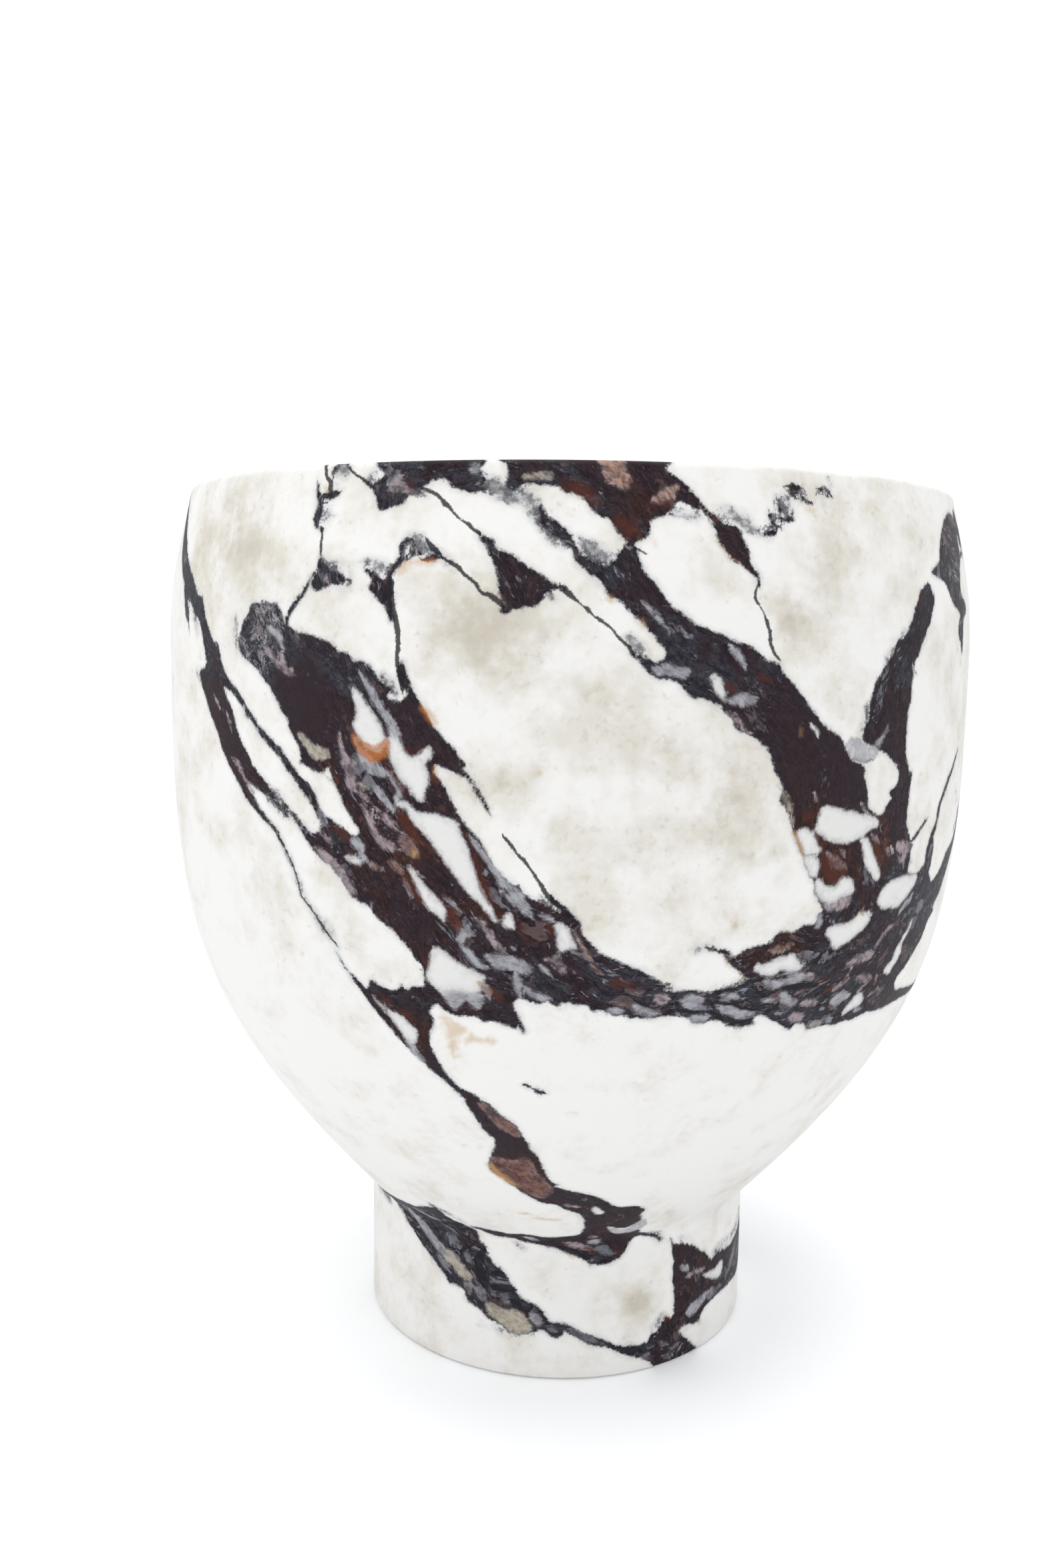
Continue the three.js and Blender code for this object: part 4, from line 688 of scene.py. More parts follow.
    (SAND, [(-19.3, 25.3), (-17.7, 25.4), (-16.1, 25.1), (-14.5, 24.4), (-12.6, 24.3), (-10.7, 24.4), (-8.8, 23.5),
     (-7.7, 22.2), (-6.9, 20.4), (-5.8, 18.6), (-7.3, 16.2), (-9.9, 15.8), (-12.2, 16.4), (-14.1, 18.1),
     (-16.4, 19.7), (-18.4, 21.1), (-19.2, 23)]),
    (BLUE_GREY, [(-6.6, 23.8), (-4.8, 23.7), (-3.3, 22.2), (-2.9, 20.3), (-4.4, 19.2), (-5.8, 20.4), (-6.8, 22.1)]),
    (STEEL, [(-15, 29.1), (-13.4, 29.9), (-12.3, 28.7), (-12.5, 26.2), (-13.8, 25.9), (-14.9, 27.2)]),
    # in the brown patch on the foot's right
    (BLUE_GREY, [(38, 34.8), (39, 35), (40.7, 34.3), (41.5, 33.1), (41.3, 31.9), (39.8, 32.2), (38.4, 33.3)]),
    (WHITE, [(47.7, 27.9), (49.9, 27.6), (52.7, 27.2), (54.8, 27.2), (56, 28), (57.5, 28.3), (59.3, 27.6), (59.3, 25.6),
     (58.8, 23.9), (57.8, 22.7), (55.6, 22.6), (53, 23.7), (50.5, 25.3), (48.7, 26.6)]),
    (BLUE_GREY, [(41.2, 15.3), (40.8, 16.8), (42.2, 18.3), (44.1, 19.1), (46.5, 19.9), (49.1, 20.5), (51.4, 20.6), (53.3, 20.3),
     (54.3, 19.3), (52.9, 18.7), (50.5, 18.2), (48.2, 16.9), (46.6, 15.6), (45, 14.7), (43.1, 14.4)]),
]

PALE_STROKES = [
    (LILAC, [(-28.8, 268.2, 0.7), (-28.5, 267.4, 0.6)]),
    (BLUE_GREY, [(8.3, 262.4, 0.3), (9.4, 260.3, 0.4), (10, 258, 0.3)]),
    (LILAC, [(18.3, 233.1, 0.4), (19.1, 231.2, 0.8), (19.9, 229.1, 0.7), (20.8, 227.8, 0.3)]),
    (BLUE_GREY, [(8.4, 262, 0.3), (9.2, 259.9, 0.4), (9.9, 257.8, 0.3), (10.9, 255.6, 0.2)]),
    (BLUE_GREY, [(12.7, 255.5, 0.2), (13.1, 253.7, 0.2)]),
    (BLUE_GREY, [(18.4, 250.5, 0.7), (19.3, 248, 1.1), (19.8, 246, 0.6)]),
    (BLUE_GREY, [(-23.5, 242.1, 0.5), (-22.5, 238.5, 0.8), (-21.5, 234.9, 1.1), (-20.5, 231.7, 1.1), (-19.6, 228.8, 1.3),
     (-19.1, 225.9, 1.8)]),
    (LILAC, [(-26.4, 224.6, 0.4), (-26.2, 222.4, 0.6), (-25.9, 219.9, 0.8), (-25.5, 217.9, 1.1), (-24.9, 215.8, 1.5),
     (-24.6, 214, 1.6)]),
    (LILAC, [(-35.1, 246, 0.8), (-34.6, 242.8, 1.2), (-33.4, 241.3, 1)]),
    (BLUE_GREY, [(-37, 253.5, 1), (-35.6, 252, 1), (-34.9, 249, 0.8)]),
    (LILAC, [(-37.6, 247.5, 0.8), (-36.2, 245, 0.8), (-35.5, 243, 0.6)]),
    (LILAC, [(-49, 233, 0.4), (-48.2, 231, 0.5), (-47.6, 229.4, 0.3)]),
    (LILAC, [(-45.9, 228, 0.3), (-45.3, 225.5, 0.4), (-45, 223.5, 0.2)]),
    (WHITE, [(29, 229.2, 0.5), (29.6, 228.2, 0.7), (29.8, 227, 0.5)]),
    (TAN, [(25.3, 211.5, 0.5), (25.8, 209.5, 1.3), (26.3, 207.3, 1.1), (26.6, 205.6, 0.8)]),
    (TAN, [(26.8, 203.2, 0.6), (27, 202.2, 0.4)]),
    (LILAC, [(29.9, 209.6, 0.4), (30.2, 208.4, 0.5)]),
    (LILAC, [(37.7, 205.6, 0.5), (37.9, 204.9, 0.7)]),
    (SALMON, [(34.7, 192.4, 0.4), (35.1, 191.4, 0.6)]),
    (SALMON, [(40.2, 195.8, 0.7), (40.9, 194.6, 0.9)]),
    (SALMON, [(43.1, 191, 0.8), (43.5, 190, 0.7)]),
    (WHITE, [(44.1, 191.6, 0.25), (44.5, 190.5, 0.35)]),
    (WHITE, [(46.3, 245.2, 0.3), (46.5, 243.8, 0.25)]),
    (BLUE_GREY, [(48.5, 170.2, 0.5), (49.4, 171.9, 0.9), (50.6, 172.8, 0.9), (51, 174.2, 0.5)]),
    (LILAC, [(47, 166.1, 0.4), (45.8, 164.7, 0.7), (44.9, 162.8, 0.6), (44.2, 161.2, 0.6)]),
    (LILAC, [(-28.7, 195.2, 0.5), (-28.1, 194.4, 0.8), (-27.9, 193.6, 0.5)]),
    (LILAC, [(-23.3, 205.2, 0.4), (-23, 204.4, 0.7), (-22.6, 202.1, 0.8), (-22.1, 199.6, 0.9), (-21.7, 197.7, 0.9),
     (-21.2, 196.2, 1.2), (-20.5, 195, 1.4), (-19.6, 194.3, 1.2), (-19, 193.8, 0.6)]),
    (BLUE_GREY, [(-18.2, 184.5, 0.4), (-17.9, 183, 0.7), (-17.5, 181.3, 0.5)]),
    (LILAC, [(-22.6, 177.4, 0.4), (-22.6, 176.9, 0.5)]),
    (LILAC, [(-16.3, 187.1, 0.4), (-16, 186.6, 0.3)]),
    (BLUE_GREY, [(-13.1, 180.6, 0.3), (-12.3, 179.3, 0.5), (-11.7, 177.7, 0.3)]),
    (BLUE_GREY, [(-19.8, 214.5, 0.8), (-19.3, 212.8, 0.7), (-18.8, 211.2, 0.7), (-18.6, 209.5, 0.8), (-18.9, 208, 1.1)]),
    (LILAC, [(-21.5, 204.7, 0.4), (-20.9, 203.3, 0.7), (-20.2, 201.7, 1), (-19.5, 200.5, 0.9), (-18.8, 199.2, 0.7),
     (-18.1, 198, 0.3)]),
    (BLUE_GREY, [(-10.2, 198.5, 0.4), (-9.6, 196.2, 0.7), (-8.8, 193.8, 0.6), (-8, 191, 0.8), (-7.3, 188.9, 1), (-6.9, 187.6, 1)]),
    (LILAC, [(-23.5, 148, 0.4), (-22.7, 146, 0.6), (-22.3, 144.2, 0.4)]),
    (LILAC, [(-9.8, 175.6, 0.4), (-9.5, 175.2, 0.7), (-8.8, 174, 0.8), (-8.3, 171.7, 0.9), (-7.8, 169.4, 0.9),
     (-7.1, 167.4, 0.9), (-6.3, 166.1, 0.5)]),
    (BLUE_GREY, [(-5.1, 159.6, 1), (-5, 157.6, 1.2), (-5, 155.5, 1), (-4.8, 154, 0.8)]),
    (BLUE_GREY, [(-4, 155.5, 0.7), (-3.4, 154.2, 1), (-2.6, 153.2, 1), (-1.5, 152.8, 0.8)]),
    (BLUE_GREY, [(-2.1, 162, 0.5), (-1.7, 161, 0.6)]),
    (BLUE_GREY, [(-11.4, 167, 0.8), (-10.8, 165.5, 1.1), (-10.3, 163.8, 1), (-9.7, 162.3, 0.8), (-9, 161.4, 0.7),
     (-8.6, 161.3, 0.4)]),
    (SALMON, [(-9.1, 156, 0.5), (-8.7, 154.6, 1.1), (-8.5, 153, 0.9)]),
    (RUST, [(1.5, 172.4, 0.25), (2, 170.5, 0.4), (2.4, 168.5, 0.5), (3, 166, 0.6), (3.4, 164.6, 0.3)]),
    (RUST, [(3.5, 163.3, 0.25), (4, 162, 0.4), (4.6, 160.8, 0.3)]),
    (BLUE_GREY, [(-1.9, 177, 0.8), (-1.2, 176.2, 0.8)]),
    (LILAC, [(39.7, 155.6, 0.6), (39.7, 154.9, 0.4)]),
    (LILAC, [(43.5, 147.8, 0.5), (42.9, 146.9, 0.9), (42.8, 146, 0.6)]),
    (BLUE_GREY, [(43.6, 139.6, 0.7), (44.5, 139.8, 0.7)]),
    (LILAC, [(46.2, 143.8, 0.5), (46.9, 144.5, 0.6), (47.4, 145.2, 0.4)]),
    (LILAC, [(48.4, 143.2, 0.3), (49, 144.3, 0.4)]),
    (SALMON, [(46.2, 149.4, 0.6), (46.3, 148.9, 0.5)]),
    (LILAC, [(37.4, 149.6, 0.5), (38.4, 150.6, 0.8), (39.3, 151.3, 0.7)]),
    (LILAC, [(-5.4, 87.4, 0.6), (-4.4, 86.8, 1.1), (-3.6, 86.2, 0.7)]),
    (RUST, [(25.9, 165.2, 0.8), (27, 165.4, 1.2), (28.2, 165.8, 0.9)]),
    (LILAC, [(2, 71.9, 0.6), (3.2, 71.3, 0.8), (4.2, 71, 0.5)]),
    (BLUE_GREY, [(9.6, 50.4, 1.2), (11, 50, 1.3)]),
    (LILAC, [(9.6, 53.4, 0.6), (10.3, 53.2, 0.5)]),
    (BLUE_GREY, [(-7.6, 51.9, 0.7), (-6.2, 51.5, 0.9), (-5, 51, 0.6)]),
    (STEEL, [(12.2, 46.4, 0.9), (13.8, 45.6, 1.2), (15.6, 45, 0.8)]),
    (MAUVE, [(-17.6, 33.2, 0.7), (-15.8, 33.8, 0.9), (-13.9, 34, 0.6)]),
    (STEEL, [(-1.2, 18.9, 0.8), (-0.2, 18.3, 0.9)]),
    (STEEL, [(4.6, 18, 0.6), (7.6, 15.9, 0.9), (10.6, 14.2, 0.9), (13.2, 12.9, 0.7)]),
    (LILAC, [(41.3, 30, 0.7), (42.4, 29.9, 0.7)]),
    (LILAC, [(44.5, 30.6, 0.7), (46, 30, 1), (47.6, 29.6, 0.6)]),
    (MAUVE, [(26.2, 5.2, 0.8), (27.4, 5.4, 1), (28.4, 5, 0.7)]),
    (MAUVE, [(31.8, 8.6, 0.8), (33.2, 8, 1)]),
    (MAUVE, [(36, 5.4, 0.9), (37.4, 5.8, 0.9)]),
    (MAUVE, [(33.4, 3, 0.9), (35, 2.6, 0.9)]),
    (STEEL, [(51.2, 17.6, 0.6), (53.6, 17.6, 0.8), (57.4, 18.6, 0.8)]),
    (MAUVE, [(62, 20.6, 1), (66, 23, 1.4), (69, 26.4, 1.5), (72, 29, 1)]),
]

# What the fragments carried by the back veins are, the commonest more than once
FRAGMENT_COLORS = [WHITE, WHITE, BLUE_GREY, BLUE_GREY, LILAC, TAN, SALMON]

STAINS = [
    (RED_BROWN, [(-30.4, 293.4, 0.5), (-30.1, 292.2, 0.8)]),
    (RED_BROWN, [(-28.5, 284.5, 0.4), (-28.1, 284.3, 0.6)]),
    (RED_BROWN, [(-18.9, 294, 0.5), (-18.5, 293, 0.8)]),
    (AMBER, [(-18.8, 269.8, 0.9), (-18, 271.2, 1.4), (-16.9, 272, 1), (-15.6, 272.2, 0.9), (-14.2, 271.6, 0.6)]),
    (OCHRE, [(4.3, 263.8, 0.5), (4.7, 262.9, 0.7)]),
    (OCHRE, [(9.4, 278.4, 0.3), (10, 277.5, 0.7)]),
    (RED_BROWN, [(-0.8, 293.6, 1.2), (1, 292, 1.8), (3, 289, 1.3), (3.5, 287.2, 0.8)]),
    (RED_BROWN, [(5.6, 284, 1.2), (6.6, 281.5, 1.8), (6.4, 280.2, 0.8)]),
    (RED_BROWN, [(9.6, 288, 0.5), (11.3, 288.6, 0.6)]),
    (RED_BROWN, [(7, 294.5, 0.5), (7, 292.6, 0.5)]),
    (OCHRE, [(8, 257.2, 0.4), (8.3, 256.3, 0.5)]),
    (RED_BROWN, [(18, 240.6, 0.8), (18.6, 239.4, 0.9)]),
    (RED_BROWN, [(21.4, 243.6, 0.3), (22.4, 242.2, 0.8), (23.1, 242.1, 0.5)]),
    (RED_BROWN, [(16.9, 279, 0.3), (17.6, 276.5, 0.6), (18.5, 274.3, 0.4)]),
    (OCHRE, [(29, 289.4, 0.5), (30.2, 288, 0.6)]),
    (RED_BROWN, [(42, 251, 0.4), (41.4, 248.6, 0.5)]),
    (RED_BROWN, [(47.9, 266, 0.5), (47.7, 264, 0.5)]),
    (AMBER, [(-24.3, 224.6, 0.8), (-23.4, 221.8, 1.6), (-22, 220.2, 2.3), (-20.7, 221.2, 2), (-20.3, 223.4, 0.9)]),
    (RED_BROWN, [(-17.8, 221.8, 0.5), (-17, 220.6, 0.6), (-16, 221.6, 0.5)]),
    (AMBER, [(-15.9, 233.6, 0.4), (-15, 231.2, 1), (-14.4, 229.6, 0.8)]),
    (OCHRE, [(27.2, 228.3, 0.8), (27.8, 227, 0.9)]),
    (RED_BROWN, [(32, 190.5, 1.5), (32.7, 187.5, 2.2), (34, 185.2, 2), (35.4, 186.4, 1)]),
    (RED_BROWN, [(31, 204, 0.5), (29, 203.5, 1.2)]),
    (OCHRE, [(27.2, 199.2, 0.5), (27.9, 196.8, 0.5), (28.5, 194.2, 0.7), (28.8, 192.8, 0.5)]),
    (OCHRE, [(39.8, 172.8, 0.5), (40, 172.2, 0.5)]),
    (RED_BROWN, [(40.6, 193, 1), (41.6, 190, 1.6), (42.4, 187.5, 1)]),
    (RED_BROWN, [(40.5, 240, 0.5), (40.3, 237.5, 0.6)]),
    (RED_BROWN, [(-27.5, 198.6, 0.7), (-26.5, 197.2, 1.1), (-25.6, 195.8, 0.7)]),
    (RED_BROWN, [(-18.2, 187, 0.8), (-17.7, 184.8, 1.4), (-17.2, 182.8, 1.3), (-16.7, 180.6, 1.2), (-16, 178.4, 0.6)]),
    (RED_BROWN, [(-12.6, 176.6, 1.4), (-12.2, 174.8, 1)]),
    (RED_BROWN, [(-19.9, 216.4, 0.6), (-19.3, 213.9, 0.6), (-18.7, 212, 0.7), (-18, 210, 0.6)]),
    (RED_BROWN, [(-18.7, 204, 1.1), (-18, 201.5, 1.3), (-17.2, 199, 1.4), (-16.5, 196.8, 1)]),
    (OCHRE, [(-17, 193.2, 0.7), (-16.7, 192.5, 0.5)]),
    (RED_BROWN, [(-10, 193.5, 0.7), (-9.7, 191.5, 0.7), (-9.3, 188.5, 0.8), (-8.9, 186, 1), (-8.4, 183, 1.2), (-8, 180.5, 1)]),
    (AMBER, [(-14.4, 217, 0.4), (-14.2, 216, 0.4)]),
    (RED_BROWN, [(-14.6, 215, 0.5), (-14.2, 213.5, 0.5)]),
    (RED_BROWN, [(-22.3, 148.5, 0.7), (-21, 146.4, 0.8), (-19.8, 145.3, 0.9), (-18.8, 143.8, 1), (-18.2, 142.2, 0.7)]),
    (RED_BROWN, [(-15.6, 163.8, 0.5), (-15.8, 161.5, 0.5), (-16, 159.8, 0.3)]),
    (RED_BROWN, [(-6.9, 176.8, 0.7), (-6.6, 176, 0.4)]),
    (RED_BROWN, [(-4.5, 174, 0.8), (-4.2, 173, 0.9)]),
    (RED_BROWN, [(-1.7, 174.8, 0.8), (-1.2, 173.4, 1), (-0.8, 171.6, 0.7)]),
    (OCHRE, [(-9.9, 157.4, 0.5), (-9.4, 156.2, 0.6)]),
    (RED_BROWN, [(-7.9, 155, 0.9), (-7.3, 153, 1.2), (-7.1, 151, 0.9)]),
    (OCHRE, [(-14.6, 144.6, 1), (-13.7, 142.8, 1.6), (-12.4, 141.4, 1.8), (-11.2, 139.4, 1.4), (-10, 137.6, 1.2),
     (-8.4, 138.4, 1.4)]),
    (OCHRE, [(-14.4, 140.5, 0.8), (-13.6, 136, 1.3), (-13.2, 132.6, 1.6)]),
    (RED_BROWN, [(5.8, 158.4, 0.8), (6.6, 157.9, 1.3), (7.7, 157.2, 1.5), (8.9, 156.1, 1.1)]),
    (RED_BROWN, [(19.8, 163.2, 0.6), (20.2, 161.8, 0.6)]),
    (RED_BROWN, [(22, 158.4, 0.6), (22.3, 157.4, 0.5)]),
    (OCHRE, [(-11.4, 90, 1), (-10.8, 87, 1.3), (-9.4, 84.2, 1.3), (-8, 81.4, 0.9)]),
    (OCHRE, [(-7.4, 66.4, 0.8), (-5.3, 65.2, 1), (-2.4, 63.6, 1), (1.1, 64, 0.7)]),
    (RED_BROWN, [(8.2, 47.6, 0.5), (9.6, 47, 0.8), (10.6, 46.2, 0.6)]),
    (RED_BROWN, [(3.6, 45.4, 0.4), (5, 44.6, 0.5)]),
    (RED_BROWN, [(10.6, 56.4, 0.8), (12.6, 56.2, 1)]),
    (RED_BROWN, [(32.8, 18.4, 0.7), (33.6, 17.2, 0.9), (34.2, 16.2, 0.6)]),
    (RED_BROWN, [(46.6, 11.4, 0.6), (46.9, 10.4, 0.5)]),
    (OLIVE, [(-2.4, 218, 0.8), (-3.2, 216.6, 0.8)]),
    (OLIVE, [(20.3, 175, 0.5), (20.6, 173.2, 0.5)]),
    (OLIVE, [(25, 195, 0.6), (25.4, 193.6, 0.6)]),
]

# Lines along which the dark matter was drawn out
FLOW_LINES = [
    [(-24, 297), (-10, 297), (-1, 290), (4, 280), (6, 270), (12, 258), (20, 246), (27, 234), (32, 220), (34, 205),
     (35, 190), (36, 178)],
    [(50, 270), (46, 252), (42, 238), (42, 224), (45, 205), (46, 190)],
    [(-12, 182), (-5, 168), (2, 158), (10, 152), (20, 150), (30, 151), (38, 157), (45, 168), (50, 180), (55, 195),
     (59, 215), (66, 245)],
    [(-44, 275), (-38, 260), (-34, 248), (-28, 235), (-24, 220), (-20, 205), (-14, 190), (-9, 178)],
    [(-38, 240), (-33, 224), (-29, 208), (-24, 190), (-19, 175), (-16, 160)],
    [(-22, 300), (-20, 282), (-20, 262), (-18, 245), (-15, 232), (-11, 218), (-6, 204), (-2, 188)],
    [(-28, 150), (-20, 149), (-12, 147), (-4, 147)],
    [(-18, 144), (-17, 134), (-13, 120), (-9, 104), (-5, 92), (2, 80), (9, 72)],
    [(-72, 292), (-60, 265), (-50, 246), (-42, 228), (-34, 210), (-28, 196)],
    [(-56, 246), (-50, 229), (-43, 212), (-35, 200)],
    [(-60, 49), (-40, 45), (-30, 37), (-20, 26), (-8, 21), (5, 17), (20, 9), (35, 4)],
    [(-60, 56), (-20, 55), (0, 52), (15, 50), (30, 48)],
    [(40, 44), (43, 32), (45, 18), (36, 4)],
    [(78, 44), (65, 26), (50, 17)],
]

# What the dark matter is like at places: azimuth, height, how brown it is (0 slate, 0.5 plum, 1 brown)
# and how much pale stone it carries
MATTER = [
    (-20, 295, 0.15, 0.6), (-13, 297, 0.3, 0.5), (-5, 297, 0.35, 0.3), (2, 297, 0.55, 0.2), (8, 288, 0.9, 0.2),
    (5, 284, 0.6, 0.2), (-3, 285, 0.3, 0.7), (1, 276, 0.2, 0.6), (-6, 270, 0.5, 0.3), (-3, 265, 0.45, 0.3),
    (18, 282, 0.7, 0.2), (13, 292, 0.5, 0.3), (5, 272, 0.15, 0.4), (8, 265, 0.6, 0.15), (10, 256, 0.55, 0.15),
    (8, 262, 0.2, 0.3), (15, 250, 0.4, 0.2), (13, 244, 0.1, 0.4), (20, 247, 0.55, 0.15), (22, 238, 0.45, 0.25),
    (28, 235, 0.6, 0.1), (30, 222, 0.6, 0.1), (27, 212, 0.7, 0.1), (33, 212, 0.6, 0.1), (30, 203, 0.8, 0.2),
    (48, 262, 0.25, 0.2), (45, 250, 0.3, 0.2), (41, 240, 0.55, 0.2), (43, 228, 0.4, 0.2), (44, 212, 0.3, 0.2),
    (46, 200, 0.4, 0.3), (34, 190, 0.9, 0.3), (38, 185, 0.7, 0.3), (42, 190, 0.8, 0.3), (46, 180, 0.2, 0.4),
    (50, 172, 0.15, 0.5), (55, 165, 0.15, 0.4), (60, 180, 0.3, 0.3), (33, 172, 0.4, 0.5), (28, 168, 0.8, 0.4),
    (24, 165, 0.85, 0.3), (38, 165, 0.3, 0.4), (45, 155, 0.3, 0.4), (52, 145, 0.3, 0.4), (60, 140, 0.4, 0.3),
    (5, 160, 0.1, 0.7), (0, 155, 0.1, 0.6), (10, 152, 0, 0.8), (16, 150, 0, 1), (22, 150, 0.05, 1),
    (28, 150, 0.1, 0.9), (34, 150, 0.15, 0.7), (-3, 160, 0.4, 0.5), (0, 170, 0.5, 0.5), (-4, 172, 0.6, 0.6),
    (-40, 250, 0.1, 1), (-35, 240, 0.45, 0), (-31, 240, 0.45, 0), (-31, 232, 0.45, 0), (-27, 245, 0.15, 0.3),
    (-22, 240, 0.2, 0.4), (-26, 228, 0.45, 0.2), (-28, 213, 0.7, 0.4), (-25, 205, 0.8, 0.5), (-22, 215, 0.4, 0.8),
    (-18, 235, 0.35, 0.2), (-16, 228, 0.5, 0.2), (-13, 222, 0.7, 0.2), (-11, 216, 0.7, 0.2), (-22, 200, 0.8, 0.4),
    (-19, 195, 0.85, 0.4), (-15, 190, 0.75, 0.2), (-25, 190, 0.7, 0.3), (-22, 182, 0.65, 0.3), (-19, 178, 0.6, 0.2),
    (-16, 172, 0.6, 0.2), (-17, 165, 0.8, 0.2), (-12, 172, 0.5, 0.6), (-9, 178, 0.85, 0.4), (-10, 168, 0.2, 0.7),
    (-5, 170, 0.6, 0.6), (-8, 160, 0.4, 0.5), (-60, 265, 0.1, 0.3), (-50, 248, 0.15, 0.3), (-40, 228, 0.2, 0.4),
    (-34, 210, 0.3, 0.3), (-50, 228, 0.75, 0.1), (-45, 215, 0.7, 0.1), (-38, 203, 0.6, 0.2), (-22, 150, 0.3, 0.3),
    (-14, 148, 0.4, 0.4), (-8, 147, 0.3, 0.3), (-17.5, 138, 0.85, 0.2), (-15, 128, 0.6, 0.1), (-11, 110, 0.3, 0.2),
    (-9, 102, 0.4, 0.1), (-7, 100, 0.7, 0.1), (-7, 90, 0.95, 0.2), (-3, 85, 0.9, 0.2), (3, 79, 0.5, 0.2),
    (8, 66, 0.3, 0.3), (10, 56, 0.6, 0.2), (5, 50, 0.4, 0.2), (17, 50, 0.5, 0.2), (-40, 45, 0, 0.6), (-30, 38, 0, 0.6),
    (-22, 28, 0.05, 0.7), (-12, 24, 0.1, 0.5), (0, 19, 0.1, 0.3), (25, 9, 0.2, 0.3), (30, 5, 0.3, 0.3),
    (42, 36, 0.5, 0.3), (38, 25, 0.5, 0.4), (45, 20, 0.4, 0.3), (60, 28, 0.4, 0.3), (38, 12, 0.3, 0.4),
    (-9, 294, 0, 0.8), (-4, 288, -0.2, 0.8), (2, 285, -0.1, 0.8), (-8, 284, 0, 0.7), (0, 293, 0.1, 0.6),
    (10, 255, -0.15, 0.35), (13, 250, -0.1, 0.4), (17, 246, 0, 0.35), (21, 244, 0.1, 0.2), (46, 262, 0, 0.5),
    (44, 248, 0.1, 0.5), (41, 240, 0.15, 0.5), (49, 250, 0.2, 0.4), (16, 278, 0.1, 0.5), (19, 276, 0.4, 0.3),
    (-39, 252, -0.9, 0.6), (-41, 247, -0.7, 0.6), (-38, 244, -0.5, 0.5), (-35, 242, 0.1, 0.3),
    (-61, 262, -0.3, 0.3), (-58, 252, -0.2, 0.3), (60, 284, 0, 0.6), (60, 272, -0.2, 0.5),
    (60, 262, 0.15, 0.6), (62, 180, 0.2, 0.8), (66, 188, 0.2, 0.7), (64, 205, 0.2, 0.6), (-26, 192.5, 0.1, 0.8),
    (54, 172, 0.05, 0.9), (56, 165, 0.05, 0.8), (32, 150, 0.15, 0.7), (2, 157, 0.6, 0.3), (13, 46, 0.1, 0.7),
    (18, 50, 0.6, 0), (3, 76, 0.3, 0), (7, 76, 0.5, 0.4), (10, 61, 0.7, 0.1), (-10, 85, 1, 0.1), (-6, 82, 1, 0.1),
    (38, 42, 0.75, 0.1), (40, 38, 0.75, 0.1), (37, 30, 0.7, 0.1), (38, 22, 0.7, 0.1), (46, 33, 0.7, 0.2),
    (62, 22, 0.2, 0.7), (70, 24, 0.15, 0.9), (35, 6, 0.3, 0.5), (30, 3, 0.3, 0.5), (-45, 50, 0.05, 0.6),
]

# Warm clouds in the pale ground, with painted light and shade among them: azimuth, height, radius in millimetres
# and strength. The large whiter places of negative strength below the belly and on the foot are painted light from
# below, and the last entry, a warm cloud high at the left, is painted shade on the upper left
CLOUDS_AND_PAINTED_LIGHT = [
    (-12.5, 257, 9, 0.5), (-9, 252, 9, 0.5), (-7, 246, 7, 0.4), (-9, 263, 9, 0.5), (-5, 259, 8, 0.45),
    (-2.8, 251, 7, 0.45), (-2.2, 247.5, 4, 0.35), (-13.5, 262, 8, 0.35), (-14.2, 252.5, 3, 0.3), (-2.6, 253, 2.5, 0.3),
    (-10, 248, 5, 0.3), (-5, 240.5, 4, 0.3),
    (0, 242, 5, 0.35), (3, 237, 6, 0.35), (6, 234, 6, 0.35), (-1.5, 184, 4, 0.4), (-5, 194.5, 3.5, 0.7),
    (-7, 216, 3, 0.6), (-6.8, 213.8, 2.5, 0.6), (-2.8, 217.3, 3.4, 0.7), (-4.4, 213.6, 2.6, 0.5), (-5.8, 204, 3, 0.5),
    (-1.2, 203, 3, 0.5), (25.2, 194.3, 2.5, 0.8), (22, 191.5, 2.8, 0.5), (26, 186.5, 2.5, 0.5), (20.5, 174, 2.8, 0.7),
    (24.1, 170.6, 2.6, 0.6), (24.5, 262, 6, 0.6), (26, 256, 7, 0.6), (29, 262, 8, 0.4), (-30, 184, 4, 0.4),
    (-26.5, 175.5, 3.5, 0.4), (-25.4, 168, 3, 0.4), (-25, 163, 3, 0.4), (-22.6, 158, 4, 0.4), (-19.8, 167.5, 3, 0.3),
    (10.4, 138, 5, 0.4), (3, 140, 6, 0.3), (10, 132.5, 6, 0.3), (-14, 138, 5, 0.5), (-13.4, 132, 5, 0.5),
    (14, 228, 18, 0.3), (20, 215, 14, 0.4), (8, 212, 18, 0.25), (20, 200, 14, 0.4), (10, 185, 18, 0.25),
    (-45, 285, 16, 0.5), (-40, 272, 14, 0.5), (-57, 275, 12, 0.4), (-36, 180, 14, 0.3), (28, 272, 12, 0.4),
    (36, 280, 16, 0.5), (26, 297, 10, 0.5), (-6, 132, 12, 0.3), (-40, 18, 14, 0.4), (-14, 8, 12, 0.4),
    (22, 26, 6, 0.8), (26, 24.5, 7, 0.7), (31, 22, 5, 0.5), (14, 33, 10, 0.3), (-10, 46, 6, 0.5), (-4, 44, 8, 0.4),
    # from (0, 105, 55, -0.6) on: painted light, a whiter ground below the belly and on the foot; the last entry is
    # painted shade high at the left
    (6, 38, 8, 0.3), (0, 105, 55, -0.6), (35, 115, 45, -0.6), (-45, 110, 50, -0.6), (-50, 170, 40, -0.4),
    (-20, 20, 40, -0.3), (40, 20, 30, -0.3), (-50, 285, 22, 0.5),
]

